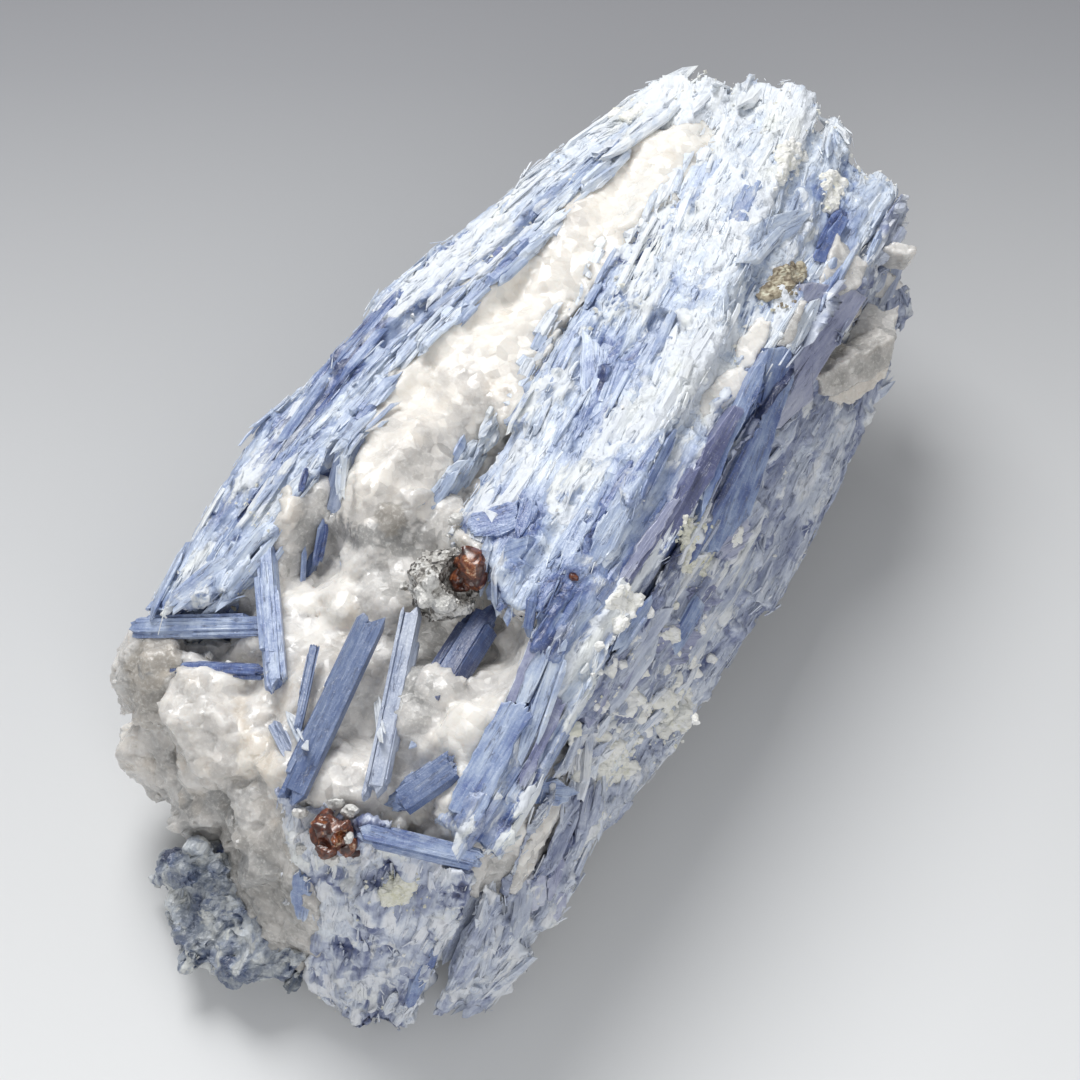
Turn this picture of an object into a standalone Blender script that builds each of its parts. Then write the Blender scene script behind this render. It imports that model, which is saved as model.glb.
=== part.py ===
"""Kyanite blade cluster: sheaves of kyanite blades and a few garnets, grown in massive quartz.

The cluster lies on its broken back, with +Z up and the blades running along +Y. Each mineral body is a
solid of its own: the quartz is whole, and what has grown over or into it keeps a hairline seam to it.
"""

import math
import random

import bmesh
import bpy
from mathutils import Matrix, Vector

# ---- Driving dimensions -------------------------------------------------------------------------------
CLUSTER_LENGTH = 0.1145  # along the blades
NOMINAL_LENGTH_MM = 114.5  # the places below are millimetres on a cluster of this length
UNIT = CLUSTER_LENGTH / NOMINAL_LENGTH_MM
SEAM = 0.3  # gap between two mineral bodies
REST_LIFT = 0.35  # the kyanite stays this far above the surface that the quartz rests on
BED_LIFT = 1.1  # the bed of a sheaf lies this far under the faces of its blades
BLADE_PROUD = 0.9  # most that a blade stands out of its sheaf's surface
BLADE_SUNK = 0.5  # most that it lies below that surface
BLADE_THICKNESS_SHARE = 0.55  # of a blade's width
CHAMFER_SHARE = 0.30  # of a blade's half width, taken off its long edges
FAR = 200.0  # past the cluster in every direction

# ---- Finishes: sRGB colour, roughness -----------------------------------------------------------------
QUARTZ = ("milky_quartz", "D9D2CB", 0.45)
KYANITE = ("pale_kyanite", "9FB0DC", 0.40)
DEEP_KYANITE = ("deep_kyanite", "4E63AE", 0.32)
GARNET = ("garnet", "6B2A16", 0.25)
MICA = ("mica_rind", "B9BBBC", 0.60)


# ---- Closed chunks: each is (corners, faces), in nominal millimetres ----------------------------------
def hull(corners):
    """The closed convex solid round these corners."""
    shape = bmesh.new()
    for corner in corners:
        shape.verts.new(corner)
    made = bmesh.ops.convex_hull(shape, input=shape.verts)
    inside = {v for v in made["geom_interior"] + made["geom_unused"] if isinstance(v, bmesh.types.BMVert)}
    bmesh.ops.delete(shape, geom=list(inside), context="VERTS")
    bmesh.ops.recalc_face_normals(shape, faces=shape.faces)
    shape.verts.index_update()
    chunk = ([v.co.copy() for v in shape.verts], [[v.index for v in f.verts] for f in shape.faces])
    shape.free()
    return chunk


def lump(centre, radii, seed, corners=16, lean=0.0, grow=0.0):
    """A broken lump: an uneven ellipsoid with flat fracture faces, leaning about Z by this many degrees."""
    rng = random.Random(seed)
    turn = Matrix.Rotation(math.radians(lean), 3, "Z")
    golden = math.pi * (3 - math.sqrt(5))
    spots = []
    for i in range(corners):
        height = 1 - 2 * (i + 0.5) / corners
        ring = math.sqrt(1 - height * height)
        angle = golden * i + seed + rng.uniform(-0.35, 0.35)
        reach = rng.uniform(0.85, 1.12)
        spot = Vector((ring * math.cos(angle), ring * math.sin(angle), height)) * reach
        spot = Vector(s * (r + grow) for s, r in zip(spot, radii))
        spots.append(Vector(centre) + turn @ spot)
    return hull(spots)


def blade(root, tip, width, thickness, face, rng=None, grow=0.0):
    """A flat crystal blade from root to tip, with chamfered long edges and slanting ends.

    face is the way that its broad face looks.
    """
    root, tip = Vector(root), Vector(tip)
    along = (tip - root).normalized()
    side = along.cross(Vector(face)).normalized()
    up = side.cross(along)
    half, deep = width / 2 + grow, thickness / 2 + grow
    shoulder = half * (1 - CHAMFER_SHARE)
    section = [(-half, 0), (-shoulder, deep), (shoulder, deep), (half, 0), (shoulder, -deep), (-shoulder, -deep)]
    corners = []
    for end, outward in ((root, -1), (tip, 1)):
        slant = rng.uniform(-0.7, 0.7) if rng else 0.35
        dip = rng.uniform(-0.5, 0.5) if rng else 0.2
        for a, b in section:
            reach = outward * (slant * outward * a + dip * b + grow)
            corners.append(end + side * a + up * b + along * reach)
    return hull(corners)


# ---- Sheaves ------------------------------------------------------------------------------------------
def on_sheaf(stations, across, along):
    """A point of the sheaf's face: 0 to 1 across it from left to right, and along it from its low end up.

    stations are three (left, right) pairs of corners: at the low end, half way and at the upper end.
    """
    low, middle, high = (Vector(left).lerp(Vector(right), across) for left, right in stations)
    return (
        low * (1 - along) * (1 - 2 * along)
        + middle * 4 * along * (1 - along)
        + high * along * (2 * along - 1)
    )


def face_of(stations, across, along):
    """The way out of the sheaf's face."""
    step = 0.02
    lengthways = on_sheaf(stations, across, along + step) - on_sheaf(stations, across, along - step)
    sideways = on_sheaf(stations, across + step, along) - on_sheaf(stations, across - step, along)
    return sideways.cross(lengthways).normalized()


def bed(stations, depth, slices=6):
    """What the blades of a sheaf are rooted in: the sheaf's own slab, this deep, as one closed tube."""
    corners, faces = [], []
    for i in range(slices + 1):
        spots = [on_sheaf(stations, across, i / slices) for across in (0.03, 0.5, 0.97)]
        outs = [face_of(stations, across, i / slices) for across in (0.03, 0.5, 0.97)]
        corners += [spot - out * BED_LIFT for spot, out in zip(spots, outs)]
        corners += [spot - out * depth for spot, out in zip(reversed(spots), reversed(outs))]
    for first in range(0, 6 * slices, 6):
        for a, b in zip(range(6), (1, 2, 3, 4, 5, 0)):
            faces += [(first + a, first + b, first + b + 6), (first + a, first + b + 6, first + a + 6)]
    for a, b, c, d in ((5, 4, 1, 0), (4, 3, 2, 1)):
        faces += [(a, b, c), (a, c, d)]
        faces += [tuple(6 * slices + i for i in corner) for corner in ((d, c, b), (d, b, a))]
    return corners, faces


def sheaf(stations, rows, columns, widths, depth, seed, reach=(0.9, 1.7), ragged=0.05, stray=3.0):
    """Blades side by side in overlapping rows, rooted in their bed. Widths are (least, most).

    reach is a blade's length in rows, ragged how far the outer tips stand past the ends, as a share of
    the sheaf, and stray how far a blade leans from its neighbours, in degrees.
    """
    rng = random.Random(seed)
    chunks = [bed(stations, depth)]
    for row in range(rows):
        for column in range(columns):
            across = (column + rng.uniform(0.2, 0.8)) / columns
            middle = (row + rng.uniform(0.3, 0.7)) / rows
            half_length = rng.uniform(*reach) / rows / 2
            low, high = middle - half_length, middle + half_length
            if row == 0 or low < 0:
                low = -ragged * rng.random()
            if row == rows - 1 or high > 1:
                high = 1 + ragged * rng.random()
            lean = math.tan(math.radians(rng.uniform(-stray, stray))) * (high - low)
            width = rng.uniform(*widths)
            out = face_of(stations, across, middle)
            lift = rng.uniform(-BLADE_SUNK, BLADE_PROUD) - width * BLADE_THICKNESS_SHARE / 2
            root = on_sheaf(stations, across - lean, low) + out * lift
            tip = on_sheaf(stations, across + lean, high) + out * (lift + rng.uniform(-0.3, 0.3))
            tilt = Vector(rng.uniform(-0.28, 0.28) for _ in range(3))
            chunks.append(blade(root, tip, width, width * BLADE_THICKNESS_SHARE, out + tilt, rng))
    return chunks


# ---- Solids from chunks -------------------------------------------------------------------------------
def mesh_of(name, chunks):
    """One mesh of all the chunks, still in nominal millimetres."""
    corners, faces = [], []
    for chunk_corners, chunk_faces in chunks:
        faces += [[i + len(corners) for i in face] for face in chunk_faces]
        corners += chunk_corners
    mesh = bpy.data.meshes.new(name)
    mesh.from_pydata(corners, [], faces)
    return mesh


def placed(name, chunks, helper=False):
    piece = bpy.data.objects.new(name, mesh_of(name, chunks))
    bpy.context.scene.collection.objects.link(piece)
    if helper:
        piece.hide_render = True
        piece.display_type = "WIRE"
    return piece


def apply_boolean(piece, other, operation):
    step = piece.modifiers.new(operation.lower(), "BOOLEAN")
    step.operation = operation
    step.solver = "EXACT"
    step.object = other
    graph = bpy.context.evaluated_depsgraph_get()
    made = bpy.data.meshes.new_from_object(piece.evaluated_get(graph))
    piece.modifiers.clear()
    piece.data = made


def keep_largest_shell(piece):
    """Drops the crumbs that a cut leaves, and any pocket that blades have sealed off."""

    def reach(shell):
        return sum(max(v.co[k] for v in shell) - min(v.co[k] for v in shell) for k in range(3))

    shape = bmesh.new()
    shape.from_mesh(piece.data)
    left, shells = set(shape.verts), []
    while left:
        front = [left.pop()]
        shell = set(front)
        while front:
            for edge in front.pop().link_edges:
                for vert in edge.verts:
                    if vert in left:
                        left.discard(vert)
                        shell.add(vert)
                        front.append(vert)
        shells.append(shell)
    largest = max(shells, key=reach)
    bmesh.ops.delete(shape, geom=[v for v in shape.verts if v not in largest], context="VERTS")
    shape.to_mesh(piece.data)
    shape.free()


def fused(name, chunks, helper=False):
    """The chunks joined one after another into one closed mesh."""
    piece = placed(name, chunks[:1], helper)
    for chunk in chunks[1:]:
        grown = placed(name + "_chunk", [chunk], helper=True)
        apply_boolean(piece, grown, "UNION")
        bpy.data.objects.remove(grown)
    return piece


def solid(name, finish, chunks, cutters=(), within=None):
    """The chunks grown together into one solid, less the cutters."""
    piece = fused(name, chunks)
    if within:
        apply_boolean(piece, within, "INTERSECT")
    for cutter in cutters:
        apply_boolean(piece, cutter, "DIFFERENCE")
    keep_largest_shell(piece)
    paint(piece, finish)
    return piece


def paint(piece, finish):
    name, colour, roughness = finish
    material = bpy.data.materials.get(name)
    if not material:
        material = bpy.data.materials.new(name)
        material.use_nodes = True
        shader = material.node_tree.nodes["Principled BSDF"]
        srgb = [int(colour[i : i + 2], 16) / 255 for i in (0, 2, 4)]
        shader.inputs["Base Color"].default_value = (*[linear(c) for c in srgb], 1)
        shader.inputs["Roughness"].default_value = roughness
    piece.data.materials.clear()
    piece.data.materials.append(material)


def linear(value):
    return value / 12.92 if value <= 0.04045 else ((value + 0.055) / 1.055) ** 2.4


# ---- Where everything lies, in nominal millimetres ----------------------------------------------------
# Three (left, right) stations for each sheaf face: low end, half way, upper end.
LEFT_TOP = (
    ((-24.0, -31.5, 26.0), (-17.5, -23.5, 30.5)),
    ((-24.6, 8.0, 28.5), (-13.0, 11.0, 33.5)),
    ((-12.5, 53.5, 29.0), (-5.0, 54.5, 32.5)),
)
LEFT_FLANK = (
    ((-19.5, -27.0, 8.0), (-24.5, -29.0, 24.5)),
    ((-20.5, 8.0, 6.0), (-25.5, 8.0, 27.5)),
    ((-9.5, 49.0, 8.0), (-14.0, 52.0, 28.0)),
)
MAIN_CREST = (
    ((-1.5, -12.0, 34.0), (14.0, -17.5, 37.5)),
    ((-2.5, 18.0, 35.0), (13.5, 16.0, 39.0)),
    ((-7.5, 54.0, 31.5), (6.0, 56.0, 33.5)),
)
MAIN_SHOULDER = (
    ((14.0, -36.5, 30.5), (20.8, -36.5, 29.0)),
    ((12.0, 4.0, 38.5), (21.0, 6.0, 34.5)),
    ((4.5, 56.0, 33.5), (18.3, 54.0, 28.5)),
)
RIGHT_FLANK = (
    ((20.3, -33.0, 29.0), (23.2, -24.0, 7.5)),
    ((20.5, 8.0, 34.5), (28.0, 6.0, 9.5)),
    ((18.2, 52.5, 28.5), (23.8, 50.0, 14.0)),
)
RIGHT_FOOT = (
    ((18.4, -47.2, 8.0), (22.6, -42.5, 4.0)),
    ((19.4, -43.0, 17.0), (25.0, -33.5, 8.0)),
    ((20.8, -32.0, 29.5), (24.0, -21.5, 14.0)),
)
FRONT_FAN = (
    ((6.5, -51.5, 4.0), (15.5, -50.5, 3.0)),
    ((2.5, -48.0, 16.0), (18.3, -45.5, 17.0)),
    ((-0.5, -43.0, 28.0), (18.5, -39.0, 30.0)),
)
FAN_HEART = ((9.5, -43.0, 15.5), (7.5, 4.6, 9.5), 0, 20)

# Broken lumps of quartz: centre, radii, lean, corners.
QUARTZ_CORE = (
    ((-3.0, -24.0, 14.0), (18.0, 18.0, 15.0), 0, 16),
    ((0.5, 0.0, 16.0), (17.0, 24.0, 16.0), 0, 16),
    ((2.0, 30.0, 15.0), (14.0, 22.0, 15.0), 0, 16),
)
QUARTZ_BAND = (
    ((-9.5, -7.0, 25.5), (8.0, 12.0, 8.4), 14, 22),
    ((-7.5, 10.0, 26.5), (7.5, 15.0, 8.8), -8, 22),
    ((-7.0, 28.0, 26.5), (6.2, 15.0, 8.3), 4, 22),
    ((-7.0, 43.0, 25.0), (5.0, 10.5, 8.8), 8, 20),
)
QUARTZ_FRONT = (
    ((-11.5, -25.0, 19.5), (8.0, 7.5, 8.0), 20, 20),
    ((-3.0, -30.0, 21.5), (8.5, 8.5, 7.8), 0, 20),
    ((8.0, -27.0, 23.0), (8.5, 9.0, 8.6), 35, 20),
    ((3.0, -37.5, 21.0), (10.5, 6.0, 8.2), 8, 20),
    ((-4.5, -16.5, 22.0), (8.5, 8.5, 8.8), 0, 20),
    ((14.5, -34.5, 21.5), (6.0, 6.5, 7.0), 0, 18),
    ((18.0, -29.0, 19.0), (4.2, 9.5, 8.0), 0, 14),
)
QUARTZ_KNOBS = (
    ((-18.0, -34.0, 18.0), (6.2, 5.8, 6.8), 15, 20),
    ((-23.2, -34.0, 18.5), (4.6, 5.4, 7.0), 0, 18),
    ((-19.0, -38.5, 10.5), (5.8, 4.8, 6.6), 30, 20),
    ((-11.5, -36.5, 19.5), (6.0, 5.4, 7.0), 0, 20),
    ((-12.0, -41.0, 10.0), (6.4, 4.6, 7.2), 10, 20),
    ((-4.5, -41.0, 15.0), (6.0, 5.2, 7.4), 0, 20),
)
QUARTZ_FEET = (
    ((-9.0, -33.0, 4.5), (11.0, 9.0, 6.5), 20, 14),
    ((10.0, -31.0, 6.0), (9.0, 10.0, 8.5), 0, 14),
    ((-6.0, 12.0, 4.5), (12.0, 16.0, 6.5), 0, 14),
    ((10.0, 34.0, 5.0), (9.0, 14.0, 7.0), 12, 14),
)
QUARTZ_PLATES = (
    ((20.5, 40.0, 12.0), (5.0, 10.0, 7.0), -8, 16),
    ((21.0, 51.0, 16.5), (6.2, 2.4, 2.6), 52, 14),
)
POCKET = ((-15.5, -17.5, 25.5), (3.6, 4.6, 5.5), 20, 14)

# Clusters of short blades grown every way: centre, radii, blades, blade length, seed.
LOW_NEST = ((-4.8, -47.5, 5.6), (10.0, 6.8, 6.2), 15, 8.5)

# Single crystals in the quartz: root, tip, width, thickness, way the broad face looks, finish.
SINGLE_BLADES = {
    "long_blade": ((0.6, -42.0, 29.6), (-1.6, -24.3, 33.0), 3.6, 2.0, (0.3, -0.2, 1.0), DEEP_KYANITE),
    "pale_blade": ((7.2, -38.0, 30.3), (0.8, -20.8, 32.6), 2.6, 1.8, (0.0, -0.2, 1.0), KYANITE),
    "thin_blade": ((-2.9, -36.2, 30.2), (-6.0, -28.4, 31.0), 1.3, 1.2, (0.0, -0.2, 1.0), DEEP_KYANITE),
    "curved_blade": ((-17.2, -20.6, 29.0), (-8.0, -32.6, 28.4), 2.6, 2.4, (0.2, -0.2, 1.0), DEEP_KYANITE),
    "stub_blade": ((-13.0, -13.6, 28.0), (-15.2, -6.8, 31.8), 4.4, 3.0, (-0.2, -0.3, 1.0), KYANITE),
    "dark_blade": ((6.6, -17.6, 32.0), (7.4, -26.6, 32.2), 3.8, 2.2, (-0.2, -0.2, 1.0), DEEP_KYANITE),
    "end_blade": ((11.9, -33.0, 31.4), (10.4, -37.4, 30.0), 3.4, 1.8, (0.0, -0.2, 1.0), DEEP_KYANITE),
    "ledge_blade": ((-24.8, -33.2, 25.2), (-13.5, -27.4, 27.2), 2.6, 2.2, (0.0, -0.5, 1.0), KYANITE),
    "cross_blade": ((-20.8, -35.6, 24.2), (-11.0, -31.6, 26.6), 1.8, 1.4, (0.0, -0.4, 1.0), DEEP_KYANITE),
    "ridge_blade": ((8.4, -41.9, 29.6), (18.4, -38.6, 28.6), 2.4, 1.8, (0.0, -0.3, 1.0), DEEP_KYANITE),
    "short_blade": ((-6.0, -36.2, 27.6), (-0.9, -39.4, 28.0), 1.7, 1.4, (0.0, -0.3, 1.0), KYANITE),
    "pocket_blade": ((-16.6, -13.8, 26.0), (-13.4, -22.2, 23.2), 3.4, 2.2, (0.0, -0.3, 1.0), DEEP_KYANITE),
}
GARNETS = {
    "front_garnet": ((5.0, -43.2, 28.6), 4.6, (20, 35, 10)),
    "upper_garnet": ((4.6, -16.6, 36.2), 3.4, (50, 15, 40)),
    "small_garnet": ((14.2, -13.2, 38.0), 1.6, (5, 25, 60)),
}
MICA_RIND = ((2.4, -17.0, 33.4), (4.6, 4.4, 3.6), 25, 20)

# A seam between bodies that grew against each other: a point, and the way across it, seen from above.
LEFT_TO_MAIN = ((-8.5, 30.0, 0.0), (1.0, -0.05, 0.0))
# The ground, seen from above, that these bodies have to themselves.
MAIN_GROUND = ((-40.0, -37.4), (20.3, -37.4), (18.4, 70.0), (-40.0, 70.0))
FAN_GROUND = ((-3.5, -41.8), (18.8, -38.8), (16.8, -60.0), (-3.5, -60.0))


# ---- The bodies ---------------------------------------------------------------------------------------
def beyond(name, point, outward, gap=SEAM / 2):
    """A cutter that takes all that lies past this plane, and a gap before it."""
    outward = Vector(outward).normalized()
    turn = outward.to_track_quat("Z", "Y").to_matrix()
    start = Vector(point) - outward * gap
    box = [start + turn @ Vector((x, y, z)) for x in (-FAR, FAR) for y in (-FAR, FAR) for z in (0, FAR)]
    return placed(name, [hull(box)], helper=True)


def seam(name, plane):
    """Two cutters, for the body before the seam and for the one past it."""
    point, across = plane
    return beyond(name + "_past", point, across), beyond(name + "_before", point, -Vector(across))


def column(name, ground, grow=0.0):
    """A cutter that stands on this ground, a convex outline seen from above."""
    middle = sum((Vector(corner) for corner in ground), Vector((0, 0))) / len(ground)
    outer = [Vector(corner) + (Vector(corner) - middle).normalized() * grow * 1.5 for corner in ground]
    return placed(name, [hull([(*corner, z) for corner in outer for z in (-FAR, FAR)])], helper=True)


def quartz_lumps(grow=0.0):
    groups = QUARTZ_CORE + QUARTZ_BAND + QUARTZ_FRONT + QUARTZ_KNOBS + QUARTZ_FEET + QUARTZ_PLATES
    return [
        lump(centre, radii, seed, corners, lean, grow)
        for seed, (centre, radii, lean, corners) in enumerate(groups, start=11)
    ]


def garnet(centre, across, turns, grow=0.0):
    """A rhombic dodecahedron, which is how garnet grows, this wide across its faces."""
    size = (across / 2 + grow) / math.sqrt(2)
    turn = Matrix.Identity(3)
    for axis, degrees in zip("XYZ", turns):
        turn = Matrix.Rotation(math.radians(degrees), 3, axis) @ turn
    cube = [Vector((x, y, z)) for x in (-1, 1) for y in (-1, 1) for z in (-1, 1)]
    points = [Vector(p) * 2 * s for p in ((1, 0, 0), (0, 1, 0), (0, 0, 1)) for s in (-1, 1)]
    return hull([Vector(centre) + turn @ (p * size) for p in cube + points])


def nest(centre, radii, count, length, seed, grow=0.0):
    """A ball of short blades that point every way, on a lump that holds them."""
    rng = random.Random(seed)
    chunks = [lump(centre, [r * 0.88 for r in radii], seed, corners=20, grow=grow)]
    golden = math.pi * (3 - math.sqrt(5))
    for i in range(count):
        height = 1 - 2 * (i + 0.5) / count
        ring = math.sqrt(1 - height * height)
        out = Vector((ring * math.cos(golden * i), ring * math.sin(golden * i), height))
        spot = Vector(centre) + Vector(o * r * 0.86 for o, r in zip(out, radii))
        along = out.cross(Vector([rng.uniform(-1, 1) for _ in range(3)])).normalized()
        along = (along + out * rng.uniform(-0.25, 0.25)).normalized()
        half = along * length * rng.uniform(0.3, 0.6)
        width = rng.uniform(2.0, 3.6)
        chunks.append(blade(spot - half, spot + half, width, width * 0.5, out, rng, grow))
    return chunks


def build():
    floor = beyond("floor", (0, 0, 0), (0, 0, -1), gap=0)
    lifted_floor = beyond("lifted_floor", (0, 0, REST_LIFT), (0, 0, -1), gap=0)
    left_past, main_before = seam("left_to_main", LEFT_TO_MAIN)
    main_ground, main_room = column("main_ground", MAIN_GROUND), column("main_room", MAIN_GROUND, SEAM)
    fan_ground, fan_room = column("fan_ground", FAN_GROUND), column("fan_room", FAN_GROUND, SEAM)

    for name, (centre, across, turns) in GARNETS.items():
        solid(name, GARNET, [garnet(centre, across, turns)])
    garnet_rooms = [garnet(centre, across, turns, SEAM) for centre, across, turns in GARNETS.values()]
    garnets_room = placed("garnets_room", garnet_rooms, helper=True)
    single_rooms = []
    for name, (root, tip, width, thickness, face, finish) in SINGLE_BLADES.items():
        solid(name, finish, [blade(root, tip, width, thickness, face)])
        single_rooms.append(blade(root, tip, width, thickness, face, grow=SEAM))
    singles_room = fused("singles_room", single_rooms, helper=True)

    centre, radii, lean, corners = MICA_RIND
    rind = lump(centre, radii, 5, corners, lean)
    solid("mica_rind", MICA, [rind], [garnets_room, singles_room])
    rind_room = placed("rind_room", [lump(centre, radii, 5, corners, lean, SEAM)], helper=True)

    centre, radii, lean, corners = POCKET
    pocket = placed("pocket", [lump(centre, radii, 3, corners, lean)], helper=True)
    solid("quartz_matrix", QUARTZ, quartz_lumps(), [pocket, singles_room, rind_room, garnets_room, floor])
    quartz_room = fused("quartz_room", quartz_lumps(SEAM), helper=True)

    grown_round = [quartz_room, singles_room, garnets_room, lifted_floor]
    solid(
        "left_sheaf",
        KYANITE,
        sheaf(LEFT_TOP, 4, 3, (2.6, 5.0), 8.0, seed=21, ragged=0.03)
        + sheaf(LEFT_FLANK, 3, 4, (4.4, 7.0), 6.0, seed=22, ragged=0.03),
        [*grown_round, left_past],
    )
    solid(
        "main_sheaf",
        KYANITE,
        sheaf(MAIN_CREST, 4, 4, (3.4, 6.0), 9.0, seed=23, ragged=0.03)
        + sheaf(MAIN_SHOULDER, 4, 3, (2.8, 4.8), 9.0, seed=24, ragged=0.03),
        [*grown_round, rind_room, main_before],
        within=main_ground,
    )
    solid(
        "right_sheaf",
        DEEP_KYANITE,
        sheaf(RIGHT_FLANK, 4, 4, (4.0, 6.6), 7.0, seed=25, ragged=0.03)
        + sheaf(RIGHT_FOOT, 2, 3, (2.8, 4.6), 6.0, seed=26),
        [*grown_round, main_room, fan_room],
    )
    solid("low_nest", DEEP_KYANITE, nest(*LOW_NEST, seed=28), grown_round)
    nest_room = fused("nest_room", nest(*LOW_NEST, seed=28, grow=SEAM), helper=True)
    centre, radii, lean, corners = FAN_HEART
    solid(
        "front_fan",
        KYANITE,
        sheaf(FRONT_FAN, 2, 5, (2.8, 4.6), 8.0, seed=27, stray=8.0)
        + [lump(centre, radii, 9, corners, lean)],
        [*grown_round, nest_room],
        within=fan_ground,
    )


def settle():
    """Scales every piece to metres, with the origin at the middle of the bounding box's bottom."""
    pieces = list(bpy.data.objects)
    corners = [vert.co for piece in pieces for vert in piece.data.vertices]
    low, high = (Vector(pick(c[k] for c in corners) for k in range(3)) for pick in (min, max))
    shift = Matrix.Translation(-Vector(((low.x + high.x) / 2, (low.y + high.y) / 2, low.z)))
    for piece in pieces:
        piece.data.transform(Matrix.Scale(UNIT, 4) @ shift)


def main():
    for old in list(bpy.data.objects):
        bpy.data.objects.remove(old)
    build()
    for cutter in [piece for piece in bpy.data.objects if piece.hide_render]:
        bpy.data.objects.remove(cutter)
    settle()


main()
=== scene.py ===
"""Kyanite blade cluster: how it looks.

The solids of the frame carry everything. Each sheaf gets a cleft body and, lying on it along its growth,
thousands of splintered blades. The quartz is one broken, lumpy body. Single crystals are bundles of slats.
Places are millimetres in the part's frame. A step is a place in the camera's frame, right and down, of 1080.

A part of a piece is (places, faces, grain, look). The grain is where each corner is along, across and through
its crystal. The look is how blue or milky it is, how crusted or stained, and how pale its rim.
"""

import itertools
import math

import bmesh
import bpy
import numpy as np
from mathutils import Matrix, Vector
from mathutils.bvhtree import BVHTree
from mathutils.kdtree import KDTree


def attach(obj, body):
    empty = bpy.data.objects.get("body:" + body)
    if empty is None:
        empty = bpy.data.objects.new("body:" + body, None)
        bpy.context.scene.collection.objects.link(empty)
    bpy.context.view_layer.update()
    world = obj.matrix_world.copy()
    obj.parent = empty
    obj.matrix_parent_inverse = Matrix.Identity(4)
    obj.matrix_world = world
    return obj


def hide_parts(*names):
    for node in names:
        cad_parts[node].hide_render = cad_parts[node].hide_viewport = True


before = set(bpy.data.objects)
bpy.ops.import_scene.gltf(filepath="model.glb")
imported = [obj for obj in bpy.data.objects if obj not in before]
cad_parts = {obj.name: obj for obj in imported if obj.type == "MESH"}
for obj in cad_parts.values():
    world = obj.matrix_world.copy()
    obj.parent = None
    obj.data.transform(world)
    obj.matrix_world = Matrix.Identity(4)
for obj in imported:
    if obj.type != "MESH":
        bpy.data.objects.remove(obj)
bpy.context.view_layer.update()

MM = 0.001
# From the places that the growth lines are given in, to the part's frame.
SETTLED = np.array((-0.35, -1.55, 0.0))
FRAME_SIDE = 1080.0

# ---- Camera: half above, from the front and a little to the right -------------------------------------
CAMERA_PLACE = np.array((59.50, -99.79, 213.47))
CAMERA_TARGET = np.array((3.65, -3.05, 20.0))
CAMERA_LENS = 70.0
SENSOR = 36.0


def camera_axes():
    back = CAMERA_PLACE - CAMERA_TARGET
    back = back / np.linalg.norm(back)
    right = np.cross((0.0, 0.0, 1.0), back)
    right = right / np.linalg.norm(right)
    return right, np.cross(back, right), back


RIGHT, UP, BACK = camera_axes()
REACH = SENSOR / CAMERA_LENS / FRAME_SIDE  # how wide a step is at a distance of one


def make_camera():
    lens = bpy.data.cameras.new("camera")
    lens.lens = CAMERA_LENS
    lens.sensor_width = SENSOR
    lens.clip_start = 0.01
    lens.clip_end = 20.0
    camera = bpy.data.objects.new("camera", lens)
    bpy.context.scene.collection.objects.link(camera)
    camera.location = Vector(CAMERA_PLACE) * MM
    camera.rotation_mode = "QUATERNION"
    camera.rotation_quaternion = Vector(CAMERA_PLACE - CAMERA_TARGET).to_track_quat("Z", "Y")
    bpy.context.scene.camera = camera


# ---- The solids, as triangles in millimetres ----------------------------------------------------------
def skin(node):
    """The corners of each triangle of a node, its normal and its area."""
    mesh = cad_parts[node].data
    mesh.calc_loop_triangles()
    places = np.empty(len(mesh.vertices) * 3, np.float32)
    mesh.vertices.foreach_get("co", places)
    places = places.reshape(-1, 3).astype(float) / MM
    triangles = np.empty(len(mesh.loop_triangles) * 3, np.int32)
    mesh.loop_triangles.foreach_get("vertices", triangles)
    corners = places[triangles.reshape(-1, 3)]
    cross = np.cross(corners[:, 1] - corners[:, 0], corners[:, 2] - corners[:, 0])
    twice = np.linalg.norm(cross, axis=1)
    sound = twice > 1e-9
    return corners[sound], cross[sound] / twice[sound, None], twice[sound] / 2


def solids(nodes):
    corners = np.concatenate([skin(node)[0] for node in nodes])
    triangles = [(i, i + 1, i + 2) for i in range(0, 3 * len(corners), 3)]
    return BVHTree.FromPolygons(corners.reshape(-1, 3).tolist(), triangles)


MASS_NODES = ["front_fan", "left_sheaf", "low_nest", "main_sheaf", "quartz_matrix", "right_sheaf"]
SOLIDS = solids(sorted(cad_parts))
MASSES = solids(MASS_NODES)


MISSED_HEIGHT = CAMERA_TARGET[2] + 8.0  # how high a step lies where it misses the solids


def in_view(x, y):
    """The place on the solids that the camera sees at a step, and the way out of them there."""
    ray = RIGHT * (x - FRAME_SIDE / 2) * REACH - UP * (y - FRAME_SIDE / 2) * REACH - BACK
    hit, out, _, _ = SOLIDS.ray_cast(Vector(CAMERA_PLACE), Vector(ray).normalized())
    if hit is None:
        hit = CAMERA_PLACE + ray * (MISSED_HEIGHT - CAMERA_PLACE[2]) / ray[2]
        out = (0.0, 0.0, 1.0)
    return np.array(hit), np.array(out)


def all_in_view(steps):
    seen = [in_view(x, y) for x, y in steps]
    return np.array([spot for spot, _ in seen]), np.array([out for _, out in seen])


STEP = 0.1176  # how wide a step is on the cluster, in millimetres


def steps_of(spots):
    """The steps at which the camera sees these spots."""
    apart = spots - CAMERA_PLACE
    scale = FRAME_SIDE * CAMERA_LENS / SENSOR / -(apart @ BACK)
    return np.stack([FRAME_SIDE / 2 + apart @ RIGHT * scale, FRAME_SIDE / 2 - apart @ UP * scale], axis=1)


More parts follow.
